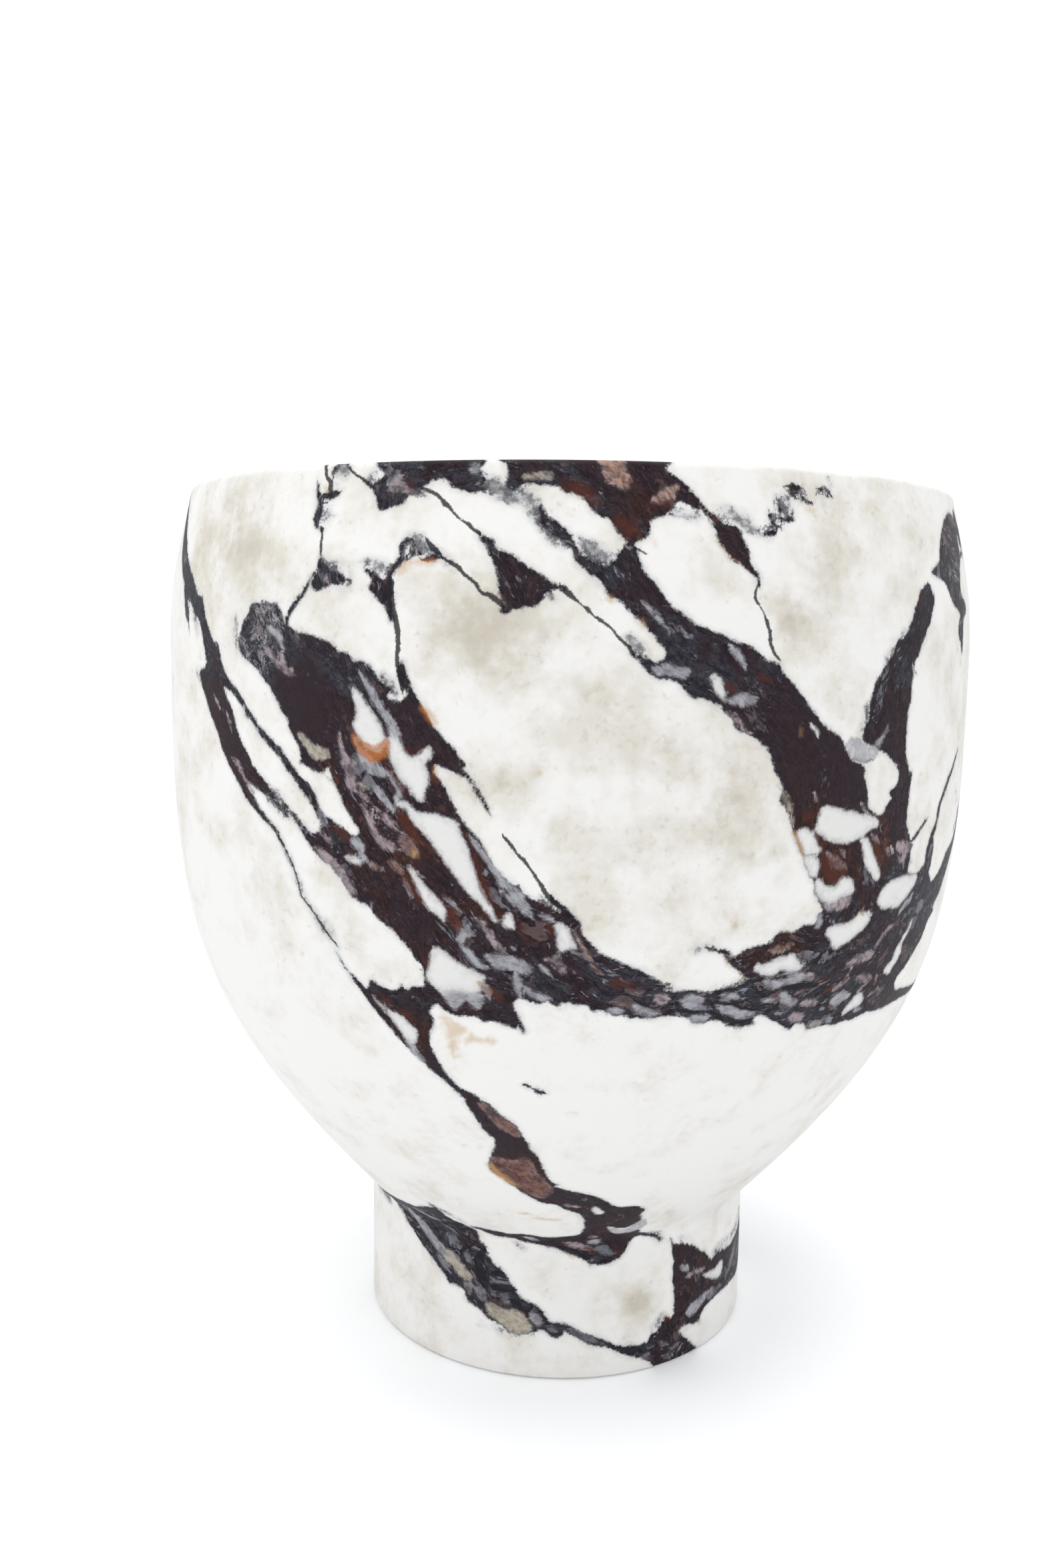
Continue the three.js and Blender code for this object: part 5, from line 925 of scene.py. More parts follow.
# Smoke about the veins
HAZE = [
    [(-29.2, 298.5, 1.5), (-27.8, 298, 2.2)],
    [(-23.5, 297, 1), (-24, 295, 2)],
    [(-30.6, 288, 1), (-29.8, 285.5, 1.6), (-28.6, 284.3, 0.8)],
    [(-29, 273, 1.2), (-27.6, 270.5, 2.2), (-26.6, 267.8, 1.4)],
    [(-25.4, 272, 0.5), (-25.2, 267.4, 0.8), (-25.6, 265, 1)],
    [(-23.4, 272.5, 1), (-21.6, 271, 2.2), (-20.4, 270.5, 1.6)],
    [(-18.4, 279, 1.2), (-17, 277, 2.8), (-16, 275.5, 2)],
    [(-14.8, 276, 1), (-13.2, 272.5, 1)],
    [(-9, 293, 2.4), (-7.6, 291.5, 3), (-5.5, 290, 2.6), (-4.2, 287.5, 2.4), (-3.3, 284.5, 2), (-2.2, 280.5, 1.8),
     (-0.5, 277.5, 1.6)],
    [(1.5, 278.5, 1), (2.5, 275.5, 3), (4, 274, 2.4)],
    [(12, 286.5, 1.5), (14.5, 285.5, 1.5)],
    [(-3, 265.5, 1.5), (-1.5, 263.5, 1)],
    [(17, 287.6, 1.4), (19, 286, 2), (20.4, 284.5, 1.6)],
    [(20.4, 283.4, 1.8), (21.6, 282.4, 1.6), (22.2, 281.2, 0.8)],
    [(23.2, 281.8, 1.6), (24, 284.2, 1.6), (24.2, 286.5, 1.2)],
    [(25, 290.5, 1.4), (25.6, 288.5, 2.4), (26, 286.5, 2)],
    [(26.2, 292, 1.6), (27.3, 293.6, 2.2), (28.4, 293.4, 1.4)],
    [(28, 292, 1.2), (29.2, 291, 1)],
    [(30.8, 294.3, 1), (32.2, 294, 1.2), (32.7, 297, 0.6), (33.4, 299.6, 0.5)],
    [(6.6, 252.5, 1.2), (7.8, 250.5, 1.8)],
    [(41.8, 250.5, 1.6), (40.6, 247, 1.2)],
    [(-20.6, 241, 1.5), (-19.6, 238.5, 1.8), (-19, 236.3, 1)],
    [(-44, 256, 1.5), (-43.8, 252, 1.5), (-43.6, 248, 1.2)],
    [(-55.5, 262, 2), (-55, 258, 2), (-54, 252, 1.2)],
    [(-54, 240, 1.2), (-53.6, 236, 1)],
    [(-39.5, 209.5, 1.5), (-37.5, 206.5, 2), (-35.5, 204, 2)],
    [(37.6, 234, 1.6), (37.4, 230, 1.4), (36.5, 227, 1)],
    [(42.9, 251.5, 1.4), (44, 255, 1.2)],
    [(-34, 186, 0.8), (-33.5, 182, 1), (-32.7, 178, 1.2), (-32.6, 176.5, 0.6)],
    [(-32, 174.5, 0.8), (-30.8, 171.5, 1.2), (-29.6, 168.5, 1.2), (-28.8, 166.5, 1)],
    [(64.5, 205, 0.8), (67, 199, 0.8), (70, 195, 0.8)],
    [(-35.9, 192.6, 0.9), (-35.2, 189.6, 0.7), (-34.5, 187.5, 0.7), (-33.9, 184.6, 0.8), (-33.4, 181.9, 0.9),
     (-33, 179.1, 0.9), (-33, 176.6, 1), (-32.9, 175.6, 0.5)],
    [(-32, 174.9, 0.6), (-31.3, 172.5, 1.1), (-30.5, 169.8, 1.3), (-29.9, 167.8, 1.5), (-29.1, 165.3, 1.3),
     (-28.2, 163.5, 0.9), (-28.1, 162, 0.6)],
    [(-37.4, 203.8, 2), (-36, 202.6, 2), (-34.8, 201.2, 2), (-33.8, 200, 1.4)],
    [(-6.9, 186.8, 1.4), (-5.9, 185, 1.4), (-5, 184.2, 1)],
    [(-2.4, 181.6, 0.8), (-1, 180, 1), (-0.2, 178.8, 1)],
    [(-13, 152.5, 1.4), (-11, 152.8, 1.2), (-9.6, 152.6, 1)],
    [(-19.3, 133.6, 1.2), (-18.6, 131.5, 1)],
    [(-17.2, 205.5, 0.8), (-15.5, 204, 1), (-13.5, 203, 1.2), (-12, 201.6, 0.8)],
    [(-16.8, 208.6, 1), (-16.2, 207.6, 1)],
    [(-16, 159.5, 0.5), (-16.1, 157, 0.5)],
    [(15.7, 166.4, 0.6), (16.6, 167.6, 1), (17.4, 167.4, 0.8)],
    [(12, 156.6, 1), (13, 155.8, 1)],
    [(18.5, 154.6, 1), (20, 155, 1.2), (22, 156.2, 1.4), (22.8, 158, 1)],
    [(-4.4, 124, 0.25), (-4, 123.8, 0.3), (-3.8, 123.1, 0.3)],
    [(-3.1, 122.3, 0.6), (-2.6, 121.7, 0.9), (-2.1, 121.5, 0.6)],
    [(-15, 97, 0.5), (-14.8, 97, 0.3)],
    [(-12.4, 98.2, 0.6), (-12.2, 98.2, 0.4)],
    [(66, 137.4, 0.8), (69.5, 137.2, 0.8)],
    [(1.8, 114.3, 0.3), (2.4, 114.2, 0.3)],
    [(-31, 61, 1.6), (-27, 58.6, 1.4), (-24, 55.6, 1.2)],
    [(-53, 50.5, 1.5), (-50, 47.5, 1.5), (-47.5, 45, 1.2)],
    [(-10.5, 48.6, 0.8), (-8.6, 47, 0.8)],
    [(-21, 17.8, 0.8), (-17, 17.2, 0.8), (-14, 15.4, 1), (-10, 14.6, 1), (-6, 15.4, 1)],
    [(-20.6, 46, 0.8), (-18.6, 41.4, 0.8), (-15.6, 38.8, 1)],
    [(53.5, 33.4, 1.2), (57, 34, 1.6), (63, 33, 1.8), (69, 34, 2), (76, 38, 2)],
    [(25, 51.8, 0.8), (29, 50.4, 0.8), (31, 47.4, 0.8)],
    [(38, 45, 1), (42, 43.4, 0.8)],
    [(28, 14, 0.8), (30.6, 16, 1), (32, 18.6, 1)],
]


def profile_map():
    """Height, radius and conformal height along the outside, from the foot's edge to the rim."""
    points = [Vector((FOOT_RADIUS, 0)), Vector((FOOT_RADIUS, FOOT_HEIGHT))] + bowl_curves()[1]
    path = np.array([tuple(p) for p in points] + [(MOUTH_RADIUS, HEIGHT + 1)])
    steps = np.hypot(*np.diff(path, axis=0).T)
    middle = (path[1:, 0] + path[:-1, 0]) / 2
    return path[:, 1], path[:, 0], np.concatenate([[0], np.cumsum(steps / middle)])


HEIGHTS, RADII, RISES = profile_map()


def smooth(points, closed, parts=2):
    """A Catmull-Rom curve through points."""
    points = np.array(points, float)
    if closed:
        points = np.vstack([points[-1:], points, points[:2]])
    else:
        points = np.vstack([2 * points[0] - points[1], points, 2 * points[-1] - points[-2]])
    out = []
    for a, b, c, d in zip(points, points[1:], points[2:], points[3:]):
        for t in np.arange(parts) / parts:
            out.append(0.5 * (2 * b + (c - a) * t + (2 * a - 5 * b + 4 * c - d) * t**2 + (3 * b - a - 3 * c + d) * t**3))
    if not closed:
        out.append(points[-2])
    return np.array(out)


def on_surface(azimuth, height):
    radius = np.interp(height, HEIGHTS, RADII)
    return np.stack([radius * np.sin(azimuth), -radius * np.cos(azimuth), height], -1)


def flattened(points):
    """The points of a marking as azimuth, rise and the radius there."""
    return np.radians(points[:, 0]), np.interp(points[:, 1], HEIGHTS, RISES), np.interp(points[:, 1], HEIGHTS, RADII)


def marked(azimuth, rise, *more):
    """The other way: azimuth in degrees, height and any values that go with them."""
    return np.stack([np.degrees(azimuth), np.interp(rise, RISES, HEIGHTS), *more], -1)


class Vein:
    """A vein grown at random along a few points: it wanders, swells, branches and carries fragments."""

    def __init__(self, points, seed):
        self.chance = np.random.default_rng(seed)
        self.points = points
        curve = smooth(points, False, 8)
        self.u, self.v, self.radius = flattened(curve)
        self.half = curve[:, 2]
        ahead = np.stack([np.gradient(self.u), np.gradient(self.v)])
        self.ahead = ahead / np.hypot(*ahead)
        steps = np.hypot(np.diff(self.u), np.diff(self.v)) * self.radius[1:]
        self.along = np.concatenate([[0], np.cumsum(steps)])
        self.u, self.v = self.beside((self.drift(22, 2.2) + self.drift(8, 1)) * np.clip(self.half, 0.7, 2) / 2)

    def drift(self, step, size):
        """A random value that changes gently along the vein."""
        knots = np.arange(0, self.along[-1] + 2 * step, step)
        return np.interp(self.along, knots, self.chance.normal(0, size, len(knots)))

    def beside(self, distance):
        """The vein's middle moved to its left by millimetres."""
        return self.u - self.ahead[1] * distance / self.radius, self.v + self.ahead[0] * distance / self.radius

    def body(self):
        left, right = (self.half * np.exp(self.drift(14, 0.3) + self.drift(5, 0.22)) for side in range(2))
        return np.vstack([marked(*self.beside(left)), marked(*self.beside(-right))[::-1]])

    def hair(self):
        ends = np.minimum(self.along, self.along[-1] - self.along)
        return marked(self.u, self.v, self.half * np.exp(self.drift(9, 0.35)) * np.clip(ends / 12, 0.3, 1))

    def spots(self, spacing):
        """Places at random along the vein: index, side, and the heading there."""
        for i in range(round(self.along[-1] / spacing)):
            at = self.chance.integers(3, len(self.u) - 3)
            yield at, self.chance.choice([-1, 1]), np.arctan2(self.ahead[1, at], self.ahead[0, at])

    def offshoots(self, spacing):
        """Thin branches that leave the vein's sides and taper out."""
        share = np.linspace(0, 1, 6)
        for at, side, heading in self.spots(spacing):
            turn = side * self.chance.uniform(0.2, 0.8) * (1 - share / 2) + self.chance.normal(0, 0.22, 6)
            heading = heading + turn if self.chance.random() < 0.5 else heading + pi - turn
            step = self.chance.uniform(5, 18) / 5 / self.radius[at]
            u, v = (w[at] for w in self.beside(side * self.half * 0.8))
            half = self.chance.uniform(0.3, 1.2) * (1 - share) + 0.12
            yield marked(u + np.cumsum(np.cos(heading)) * step, v + np.cumsum(np.sin(heading)) * step, half)

    def fragments(self, spacing):
        """Pale fragments turned roughly along the vein, where it is wide enough."""
        around = np.arange(9) * 2 * pi / 9
        for at, side, heading in self.spots(spacing):
            room = self.half[at]
            if room < 3:
                continue
            length = self.chance.uniform(0.25, 0.8) * room
            width = length * self.chance.uniform(0.25, 0.6)
            lean = heading + self.chance.normal(0, 0.25)
            far = self.chance.uniform(0.65, 1.2, 9) / self.radius[at]
            x, y = np.cos(around) * length * far, np.sin(around) * width * far
            u, v = (w[at] for w in self.beside(side * self.chance.uniform(0, 0.75) * room))
            color = FRAGMENT_COLORS[self.chance.integers(len(FRAGMENT_COLORS))]
            yield color, marked(u + x * cos(lean) - y * sin(lean), v + x * sin(lean) + y * cos(lean))

    def smoke(self, spacing):
        for at, side, heading in self.spots(spacing):
            part = slice(max(at - self.chance.integers(2, 7), 0), at + 2)
            half = np.full(len(self.u), self.chance.uniform(0.8, 2.4))
            yield marked(*(w[part] for w in (*self.beside(side * self.half * 1.1), half)))

    def matter(self, spacing):
        for at, side, heading in self.spots(spacing):
            azimuth, height = marked(*(w[at] for w in self.beside(side * self.half / 2)))
            yield azimuth, height, self.chance.uniform(0, 0.85), self.chance.uniform(0.1, 0.9)


def grown_clouds(seed):
    """Clouds and whiter places all round the back."""
    chance = np.random.default_rng(seed)
    return [
        (chance.uniform(78, 282), chance.uniform(10, 295), chance.uniform(8, 34), chance.choice([-0.6, -0.5, 0.3, 0.5]))
        for i in range(70)
    ]


class Skin:
    """The stone's surface points in conformal coordinates, in which distances are even both ways."""

    def __init__(self, mesh):
        place = np.empty(len(mesh.vertices) * 3)
        mesh.vertices.foreach_get("co", place)
        x, y, z = place.reshape(-1, 3).T / MM
        self.azimuth = np.arctan2(x, -y)
        radius = np.hypot(x, y)
        self.inner = (radius < np.interp(z, HEIGHTS, RADII) - WALL / 2) & (z > RECESS_CEILING + 1)
        shift = np.where(self.inner, radians(9), 0)
        self.azimuth = (self.azimuth + shift + pi) % (2 * pi) - pi
        under = (z < STONE_BOTTOM + 0.1) | (z <= RECESS_CEILING)
        below = np.where(under & ~self.inner, np.log(np.clip(radius, 5, None) / FOOT_RADIUS), 0)
        self.rise = np.interp(z, HEIGHTS, RISES) + np.clip(below, -1, 0)
        self.radius = np.interp(self.rise, RISES, RADII)
        self.place = on_surface(self.azimuth, np.interp(self.rise, RISES, HEIGHTS))

    def near(self, azimuth, rise, reach):
        """The surface points close to a marking, as offsets from its middle."""
        middle = (azimuth.min() + azimuth.max()) / 2
        turn = (self.azimuth - middle + pi) % (2 * pi) - pi
        span = (azimuth.max() - azimuth.min()) / 2 + reach
        picked = np.flatnonzero(
            (abs(turn) < span) & (self.rise > rise.min() - reach) & (self.rise < rise.max() + reach)
        )
        return picked, turn[picked] + middle, self.rise[picked]

    def area(self, outline_points):
        """Signed distance to an area's edge, negative inside."""
        u, v, r = flattened(smooth(outline_points, True))
        picked, x, y = self.near(u, v, FAR / 70 / 2)
        inside = np.zeros(len(picked), bool)
        nearest = np.full(len(picked), 1e9)
        for i in range(len(u)):
            j = (i + 1) % len(u)
            nearest = np.minimum(nearest, segment(x, y, u[i], v[i], u[j], v[j])[0])
            crosses = (v[i] > y) != (v[j] > y)
            with np.errstate(divide="ignore", invalid="ignore"):
                side = x < (u[j] - u[i]) * (y - v[i]) / (v[j] - v[i]) + u[i]
            inside ^= crosses & side
        return picked, np.where(inside, -1, 1) * nearest * self.radius[picked]

    def stroke(self, points):
        """Signed distance to a stroke's edge, and its signed offset over its half width."""
        curve = smooth(points, False)
        u, v, r = flattened(curve)
        picked, x, y = self.near(u, v, FAR / 70 / 2)
        best = np.full(len(picked), 1e9)
        offset = np.full(len(picked), 1e9)
        for i in range(len(u) - 1):
            distance, share, side = segment(x, y, u[i], v[i], u[i + 1], v[i + 1])
            half = (curve[i, 2] * (1 - share) + curve[i + 1, 2] * share)
            distance = distance * self.radius[picked]
            nearer = distance - half < best
            best = np.where(nearer, distance - half, best)
            offset = np.where(nearer, np.sign(side) * distance, offset)
        return picked, best, offset


    def across(self, lines):
        """How far each point lies to the side of the flow, blended from the nearest lines."""
        total = np.zeros(len(self.azimuth))
        weights = np.zeros(len(self.azimuth))
        for points in lines:
            curve = smooth([(*p, 0) for p in points], False, 2)
            u, v, r = flattened(curve)
            middle = (u.min() + u.max()) / 2
            x = (self.azimuth - middle + pi) % (2 * pi) - pi + middle
            nearest = np.full(len(x), 1e9)
            aside = np.zeros(len(x))
            for i in range(len(u) - 1):
                distance, share, side = segment(x, self.rise, u[i], v[i], u[i + 1], v[i + 1])
                nearer = distance < nearest
                length = np.hypot(u[i + 1] - u[i], v[i + 1] - v[i])
                nearest = np.where(nearer, distance, nearest)
                aside = np.where(nearer, side / length, aside)
            weight = (nearest * self.radius + 2) ** -5
            total += weight * aside * self.radius
            weights += weight
        return total / weights

    def blend(self, spots):
        """The values of the nearest spots, blended by distance."""
        spots = np.array(spots)
        total = np.zeros((len(self.place), spots.shape[1] - 2))
        weights = np.zeros((len(self.place), 1))
        for spot in spots:
            distance = np.linalg.norm(self.place - on_surface(radians(spot[0]), spot[1]), axis=1)
            weight = ((distance + 2) ** -4)[:, None]
            total += weight * spot[2:]
            weights += weight
        return (total / weights).T

    def clouds_and_painted_light(self, spots):
        """A sum of soft round clouds."""
        total = np.zeros(len(self.place))
        for azimuth, height, radius, strength in spots:
            distance = np.linalg.norm(self.place - on_surface(radians(azimuth), height), axis=1)
            total += strength * np.exp(-((distance / radius) ** 2))
        return total


def segment(x, y, ax, ay, bx, by):
    """Distance from points to a segment, the share along it, and which side they are on."""
    dx, dy = bx - ax, by - ay
    share = np.clip(((x - ax) * dx + (y - ay) * dy) / max(dx * dx + dy * dy, 1e-12), 0, 1)
    return np.hypot(x - ax - share * dx, y - ay - share * dy), share, dx * (y - ay) - dy * (x - ax)


def split_near(piece, areas, strokes):
    """Splits the faces near the edges of the markings, so that fine ones keep their shape."""
    for reach in SPLIT_REACH:
        skin = Skin(piece.data)
        gap = np.full(len(skin.azimuth), FAR)
        for picked, distance in [skin.area(p) for p in areas] + [skin.stroke(p)[:2] for p in strokes]:
            gap[picked] = np.minimum(gap[picked], abs(distance))
        behind = skin.inner | (abs(skin.azimuth) > FRONT)
        gap[behind] = FAR if reach == SPLIT_REACH[-1] else gap[behind] + 1.2
        bm = bmesh.new()
        bm.from_mesh(piece.data)
        edges = [edge for edge in bm.edges if max(gap[v.index] for v in edge.verts) < reach]
        bmesh.ops.subdivide_edges(bm, edges=edges, cuts=1, use_grid_fill=True)
        for vert in bm.verts:
            radius, height = vert.co.xy.length / MM, vert.co.z / MM
            true = float(np.interp(height, HEIGHTS, RADII))
            if abs(radius - true) < 0.1 and (3 < height < 42 or 64 < height < HEIGHT - 4):
                vert.co.xy *= true / radius
        bm.to_mesh(piece.data)
        bm.free()
    piece.data.shade_smooth()


def nearest_area(skin, areas):
    """The least signed distance to the edge of any area."""
    nearest = np.full(len(skin.azimuth), FAR)
    for picked, distance in areas:
        nearest[picked] = np.minimum(nearest[picked], distance)
    return nearest


def nearest_stroke(skin, strokes):
    """Signed offset from the nearest stroke, its half width there and the distance past its edge."""
    marks = np.tile((FAR, 0.3, FAR), (len(skin.azimuth), 1))
    for picked, distance, side in strokes:
        closer = distance < marks[picked, 2]
        marks[picked[closer]] = np.stack([side, np.abs(side) - distance, distance], -1)[closer]
    return marks


def blended_color(skin, found):
    """The colours of the markings near each point."""
    weight = np.full((len(skin.azimuth), 1), 1e-9)
    total = np.zeros((len(skin.azimuth), 3))
    for color, picked, distance in found:
        pull = np.exp(-np.clip(distance, -6, FAR))[:, None]
        weight[picked] += pull
        total[picked] += pull * color
    return total / weight


def keep(mesh, name, values):
    values = np.asarray(values, np.float32)
    if values.ndim == 2:
        mesh.attributes.new(name, "FLOAT_VECTOR", "POINT").data.foreach_set("vector", values.ravel())
    else:
        mesh.attributes.new(name, "FLOAT", "POINT").data.foreach_set("value", values)


class Wire:
    """A socket with arithmetic: an expression on wires adds the Math nodes for it."""

    def __init__(self, tree, socket):
        self.tree = tree
        self.socket = socket

    def math(self, operation, *others, clamp=False):
        node = self.tree.nodes.new("ShaderNodeMath")
        node.operation = operation
        node.use_clamp = clamp
        for place, value in zip(node.inputs, (self, *others)):
            connect(self.tree, place, value)
        return Wire(self.tree, node.outputs[0])

    def __add__(self, other):
        return self.math("ADD", other)

    def __radd__(self, other):
        return self.math("ADD", other)

    def __sub__(self, other):
        return self.math("SUBTRACT", other)

    def __rsub__(self, other):
        return (self * -1).math("ADD", other)

    def __mul__(self, other):
        return self.math("MULTIPLY", other)

    def __rmul__(self, other):
        return self.math("MULTIPLY", other)

    def __truediv__(self, other):
        return self.math("DIVIDE", other)

    def low(self, other):
        return self.math("MINIMUM", other)

    def high(self, other):
        return self.math("MAXIMUM", other)

    def size(self):
        return self.math("ABSOLUTE")

    def between(self, low, high):
        """0 below low, 1 above high, and a smooth step from one to the other."""
        node = self.tree.nodes.new("ShaderNodeMapRange")
        node.interpolation_type = "SMOOTHSTEP"
        connect(self.tree, node.inputs["Value"], self)
        node.inputs["From Min"].default_value = min(low, high)
        node.inputs["From Max"].default_value = max(low, high)
        node.inputs["To Min"].default_value = 0 if low < high else 1
        node.inputs["To Max"].default_value = 1 if low < high else 0
        return Wire(self.tree, node.outputs[0])


def connect(tree, place, value):
    if isinstance(value, Wire):
        tree.links.new(value.socket, place)
    else:
        place.default_value = value


class Finish:
    """A material's node tree: node() adds any node from its settings and its sockets' values."""

    def __init__(self, name):
        self.material = bpy.data.materials.new(name)
        self.material.use_nodes = True
        self.tree = self.material.node_tree
        self.tree.nodes.clear()

    def node(self, kind, settings=None, output=0, **sockets):
        node = self.tree.nodes.new("ShaderNode" + kind)
        for key, value in (settings or {}).items():
            setattr(node, key, value)
        for key, value in sockets.items():
            connect(self.tree, node.inputs[key.replace("_", " ")], value)
        return Wire(self.tree, node.outputs[output])

    def place(self):
        return self.node("TexCoord", output="Object")

    def attribute(self, name, output="Fac"):
        return self.node("Attribute", {"attribute_name": name}, output)

    def stroke(self, name, wander):
        """Distance past the edge of the nearest stroke, whose middle wanders a little."""
        parts = self.node("SeparateXYZ", None, 0, Vector=self.attribute(name, "Vector"))
        offset, half, gap = [Wire(self.tree, socket) for socket in parts.socket.node.outputs]
        return ((offset + wander).size() - half).low(gap + 0.6).high(gap - 0.8)

    def noise(self, size, detail=3.0, rough=0.55, warp=0.0, vector=None):
        """Noise of grains about size millimetres across, from 0 to 1."""
        where = vector or self.place()
        return self.node(
            "TexNoise", None, "Fac", Vector=where, Scale=1 / (size * MM), Detail=detail, Roughness=rough,
            Distortion=warp,
        )

    def drawn(self, across, width, length):
        """A 4-D place in which a texture comes out width millimetres wide and drawn out along the flow."""
        where = self.node("VectorMath", {"operation": "SCALE"}, 0, Vector=self.place(), Scale=1 / (length * MM))
        return {"Vector": where, "W": across / width, "Scale": 1}

    def streaks(self, across, width, length, detail=3.0, rough=0.6, warp=0.0):
        return self.node(
            "TexNoise", {"noise_dimensions": "4D"}, "Fac", Detail=detail, Roughness=rough, Distortion=warp,
            **self.drawn(across, width, length),
        )

    def cells(self, across, width, length, feature="F1", output="Color"):
        return self.node(
            "TexVoronoi", {"voronoi_dimensions": "4D", "feature": feature}, output,
            **self.drawn(across, width, length),
        )

    def parts(self, color):
        node = self.tree.nodes.new("ShaderNodeSeparateColor")
        connect(self.tree, node.inputs[0], color)
        return [Wire(self.tree, socket) for socket in node.outputs[:3]]

    def mix(self, factor, a, b):
        node = self.tree.nodes.new("ShaderNodeMix")
        node.data_type = "RGBA"
        connect(self.tree, node.inputs[0], factor)
        for place, value in ((node.inputs[6], a), (node.inputs[7], b)):
            connect(self.tree, place, value if isinstance(value, Wire) else (*value, 1))
        return Wire(self.tree, node.outputs[2])

    def surface(self, **sockets):
        shader = self.node("BsdfPrincipled", None, 0, **sockets)
        out = self.tree.nodes.new("ShaderNodeOutputMaterial")
        self.tree.links.new(shader.socket, out.inputs["Surface"])
        return self.material


def marble():
    f = Finish("veined_marble")
    broad = f.noise(14) - 0.5
    coarse = f.noise(5) - 0.5
    ragged = f.noise(1.6, 3, 0.6) - 0.5
    gritty = f.noise(0.6, 2) - 0.5
    mottle = f.noise(17, 6, 0.58) - 0.5
    fine = f.noise(3, 4, 0.6) - 0.5
    wander = coarse * 0.7 + ragged * 0.6

    veins = f.attribute("vein").low(f.stroke("vein_stroke", wander))
    threads = f.stroke("thread", wander)
    pale = f.attribute("pale").low(f.stroke("pale_stroke", wander))
    stain = f.attribute("stain")
    tone = f.attribute("tone")
    carried = f.attribute("carried")
    clouds_and_painted_light = f.attribute("clouds_and_painted_light")
    haze = f.attribute("haze")

    # how the dark matter was drawn out: long bands, short fibres and cells walled by seams
    flow = f.attribute("across") + broad * 8 + coarse * 3
    band = f.streaks(flow, 4.5, 15) - 0.5
    fibre = f.streaks(flow, 0.8, 3, 4) - 0.5
    cell = f.cells(flow + ragged * 1.5, 2.8, 8)
    wall = f.cells(flow + ragged * 1.5, 2.8, 8, "DISTANCE_TO_EDGE", "Distance")
    pick, lift, warmth = f.parts(cell)

    # the pale ground: cream white with warm clouds, beige mottling and grey smoke by the veins; the clouds also carry
    # painted light, which takes the beige out below the belly and on the foot, and painted shade high at the left
    beige = (mottle * 3 + fine * 0.8 + clouds_and_painted_light * 0.5).between(-0.35, 0.8)
    ground = f.mix(beige, (0.9, 0.894, 0.876), (0.76, 0.732, 0.665))
    cloudy = (clouds_and_painted_light * (mottle * 2.4 + fine * 0.8 + 0.8)).between(0, 1.7)
    ground = f.mix(cloudy, ground, (0.56, 0.515, 0.43))
    smudge = (f.noise(2.6, 4) + mottle * 0.4 + clouds_and_painted_light * 0.1).between(0.6, 0.76)
    ground = f.mix(smudge * 0.35, ground, (0.56, 0.52, 0.42))
    smoke = (haze + coarse * 3.5 + fine * 3 + ragged * 4.5 + gritty * 2).between(0.2, -1.7)
    veil = (haze.low(veins) + coarse * 3 + fine * 3).between(2, -1)
    spray = (veins + haze.low(2) * 0.6 + ragged * 5 + gritty * 4).between(0.7, -0.3)
    ground = f.mix(veil * 0.45, ground, (0.42, 0.43, 0.47))
    ground = f.mix(smoke * 0.75, ground, f.mix((fibre + ragged).between(-0.2, 0.25), (0.05, 0.05, 0.06), (0.25, 0.25, 0.27)))
    ground = f.mix(spray * 0.55, ground, (0.06, 0.06, 0.07))

    # the dark matter: ash, slate, plum and brown by place, band and cell
    edge = veins + coarse * 0.8 + ragged * 1.6 + gritty * 0.9 + fibre * 1.2
    dark = edge.between(0.5, -0.55)
    fragmented = carried.between(0.05, 0.45)
    shade = tone + ((pick - 0.5) * 0.5 + band * 0.7) * fragmented + band * 0.25
    light = ((fibre + gritty * 0.6 + fine * 0.5) * carried.between(-0.1, 0.3)).between(-0.35, 0.4)
    ash = f.mix((fibre * 1.6 + gritty + coarse).between(-0.2, 0.45), (0.035, 0.033, 0.04), (0.42, 0.405, 0.42))
    slate = f.mix(light, (0.013, 0.012, 0.018), (0.07, 0.069, 0.083))
    plum = f.mix(light, (0.015, 0.009, 0.013), (0.053, 0.036, 0.042))
    brown = f.mix(light, (0.022, 0.01, 0.01), (0.075, 0.037, 0.032))
    matter = f.mix(shade.between(-0.5, -0.15), ash, slate)
    matter = f.mix(shade.between(0.08, 0.4), matter, plum)
    matter = f.mix(shade.between(0.6, 0.95), matter, brown)
    walled = (wall + ragged * 0.12).between(0.09, 0) * fragmented
    matter = f.mix(walled * 0.5, matter, (0.007, 0.006, 0.009))
    rind = edge.between(-1.8, -0.3) * (coarse + fine).between(-0.2, 0.2)
    matter = f.mix(rind * 0.75, matter, f.mix(light, (0.01, 0.01, 0.015), (0.047, 0.049, 0.062)))
    sliver = (lift + carried * 0.42 + fibre * 0.5 + ragged * 0.5).between(1, 1.25) * (1 - walled)
    sliver_color = f.mix(warmth.between(0.4, 0.6), (0.23, 0.235, 0.27), (0.15, 0.105, 0.105))
    matter = f.mix(sliver * 0.65, matter, sliver_color)
    flake = (f.streaks(flow, 1.1, 3.6, 2) + carried * 0.11).between(0.655, 0.76) * fragmented
    flake_color = f.mix(warmth.between(0.35, 0.65), (0.3, 0.31, 0.35), (0.24, 0.19, 0.19))
    matter = f.mix(flake * 0.7, matter, flake_color)
    rusty = (warmth + f.noise(1.8, 2) * 0.9).between(1.36, 1.48) * shade.between(0.35, 0.5) * fragmented
    matter = f.mix(rusty * 0.55, matter, (0.15, 0.055, 0.035))
    speck = f.noise(1.1, 1).between(0.77, 0.85)
    matter = f.mix(speck * 0.3, matter, (0.36, 0.34, 0.36))

    # stains: soft and tan on the pale ground, strong on the dark
    stained = (stain + coarse * 1.6 + ragged * 1.8).between(1.2, -1)
    stain_color = f.attribute("stain_color", "Color")
    ground = f.mix(stained * 0.6, ground, f.mix(0.7, stain_color, (0.66, 0.5, 0.28)))
    matter = f.mix(stained * 0.8, matter, stain_color)
    stone = f.mix(dark, ground, matter)

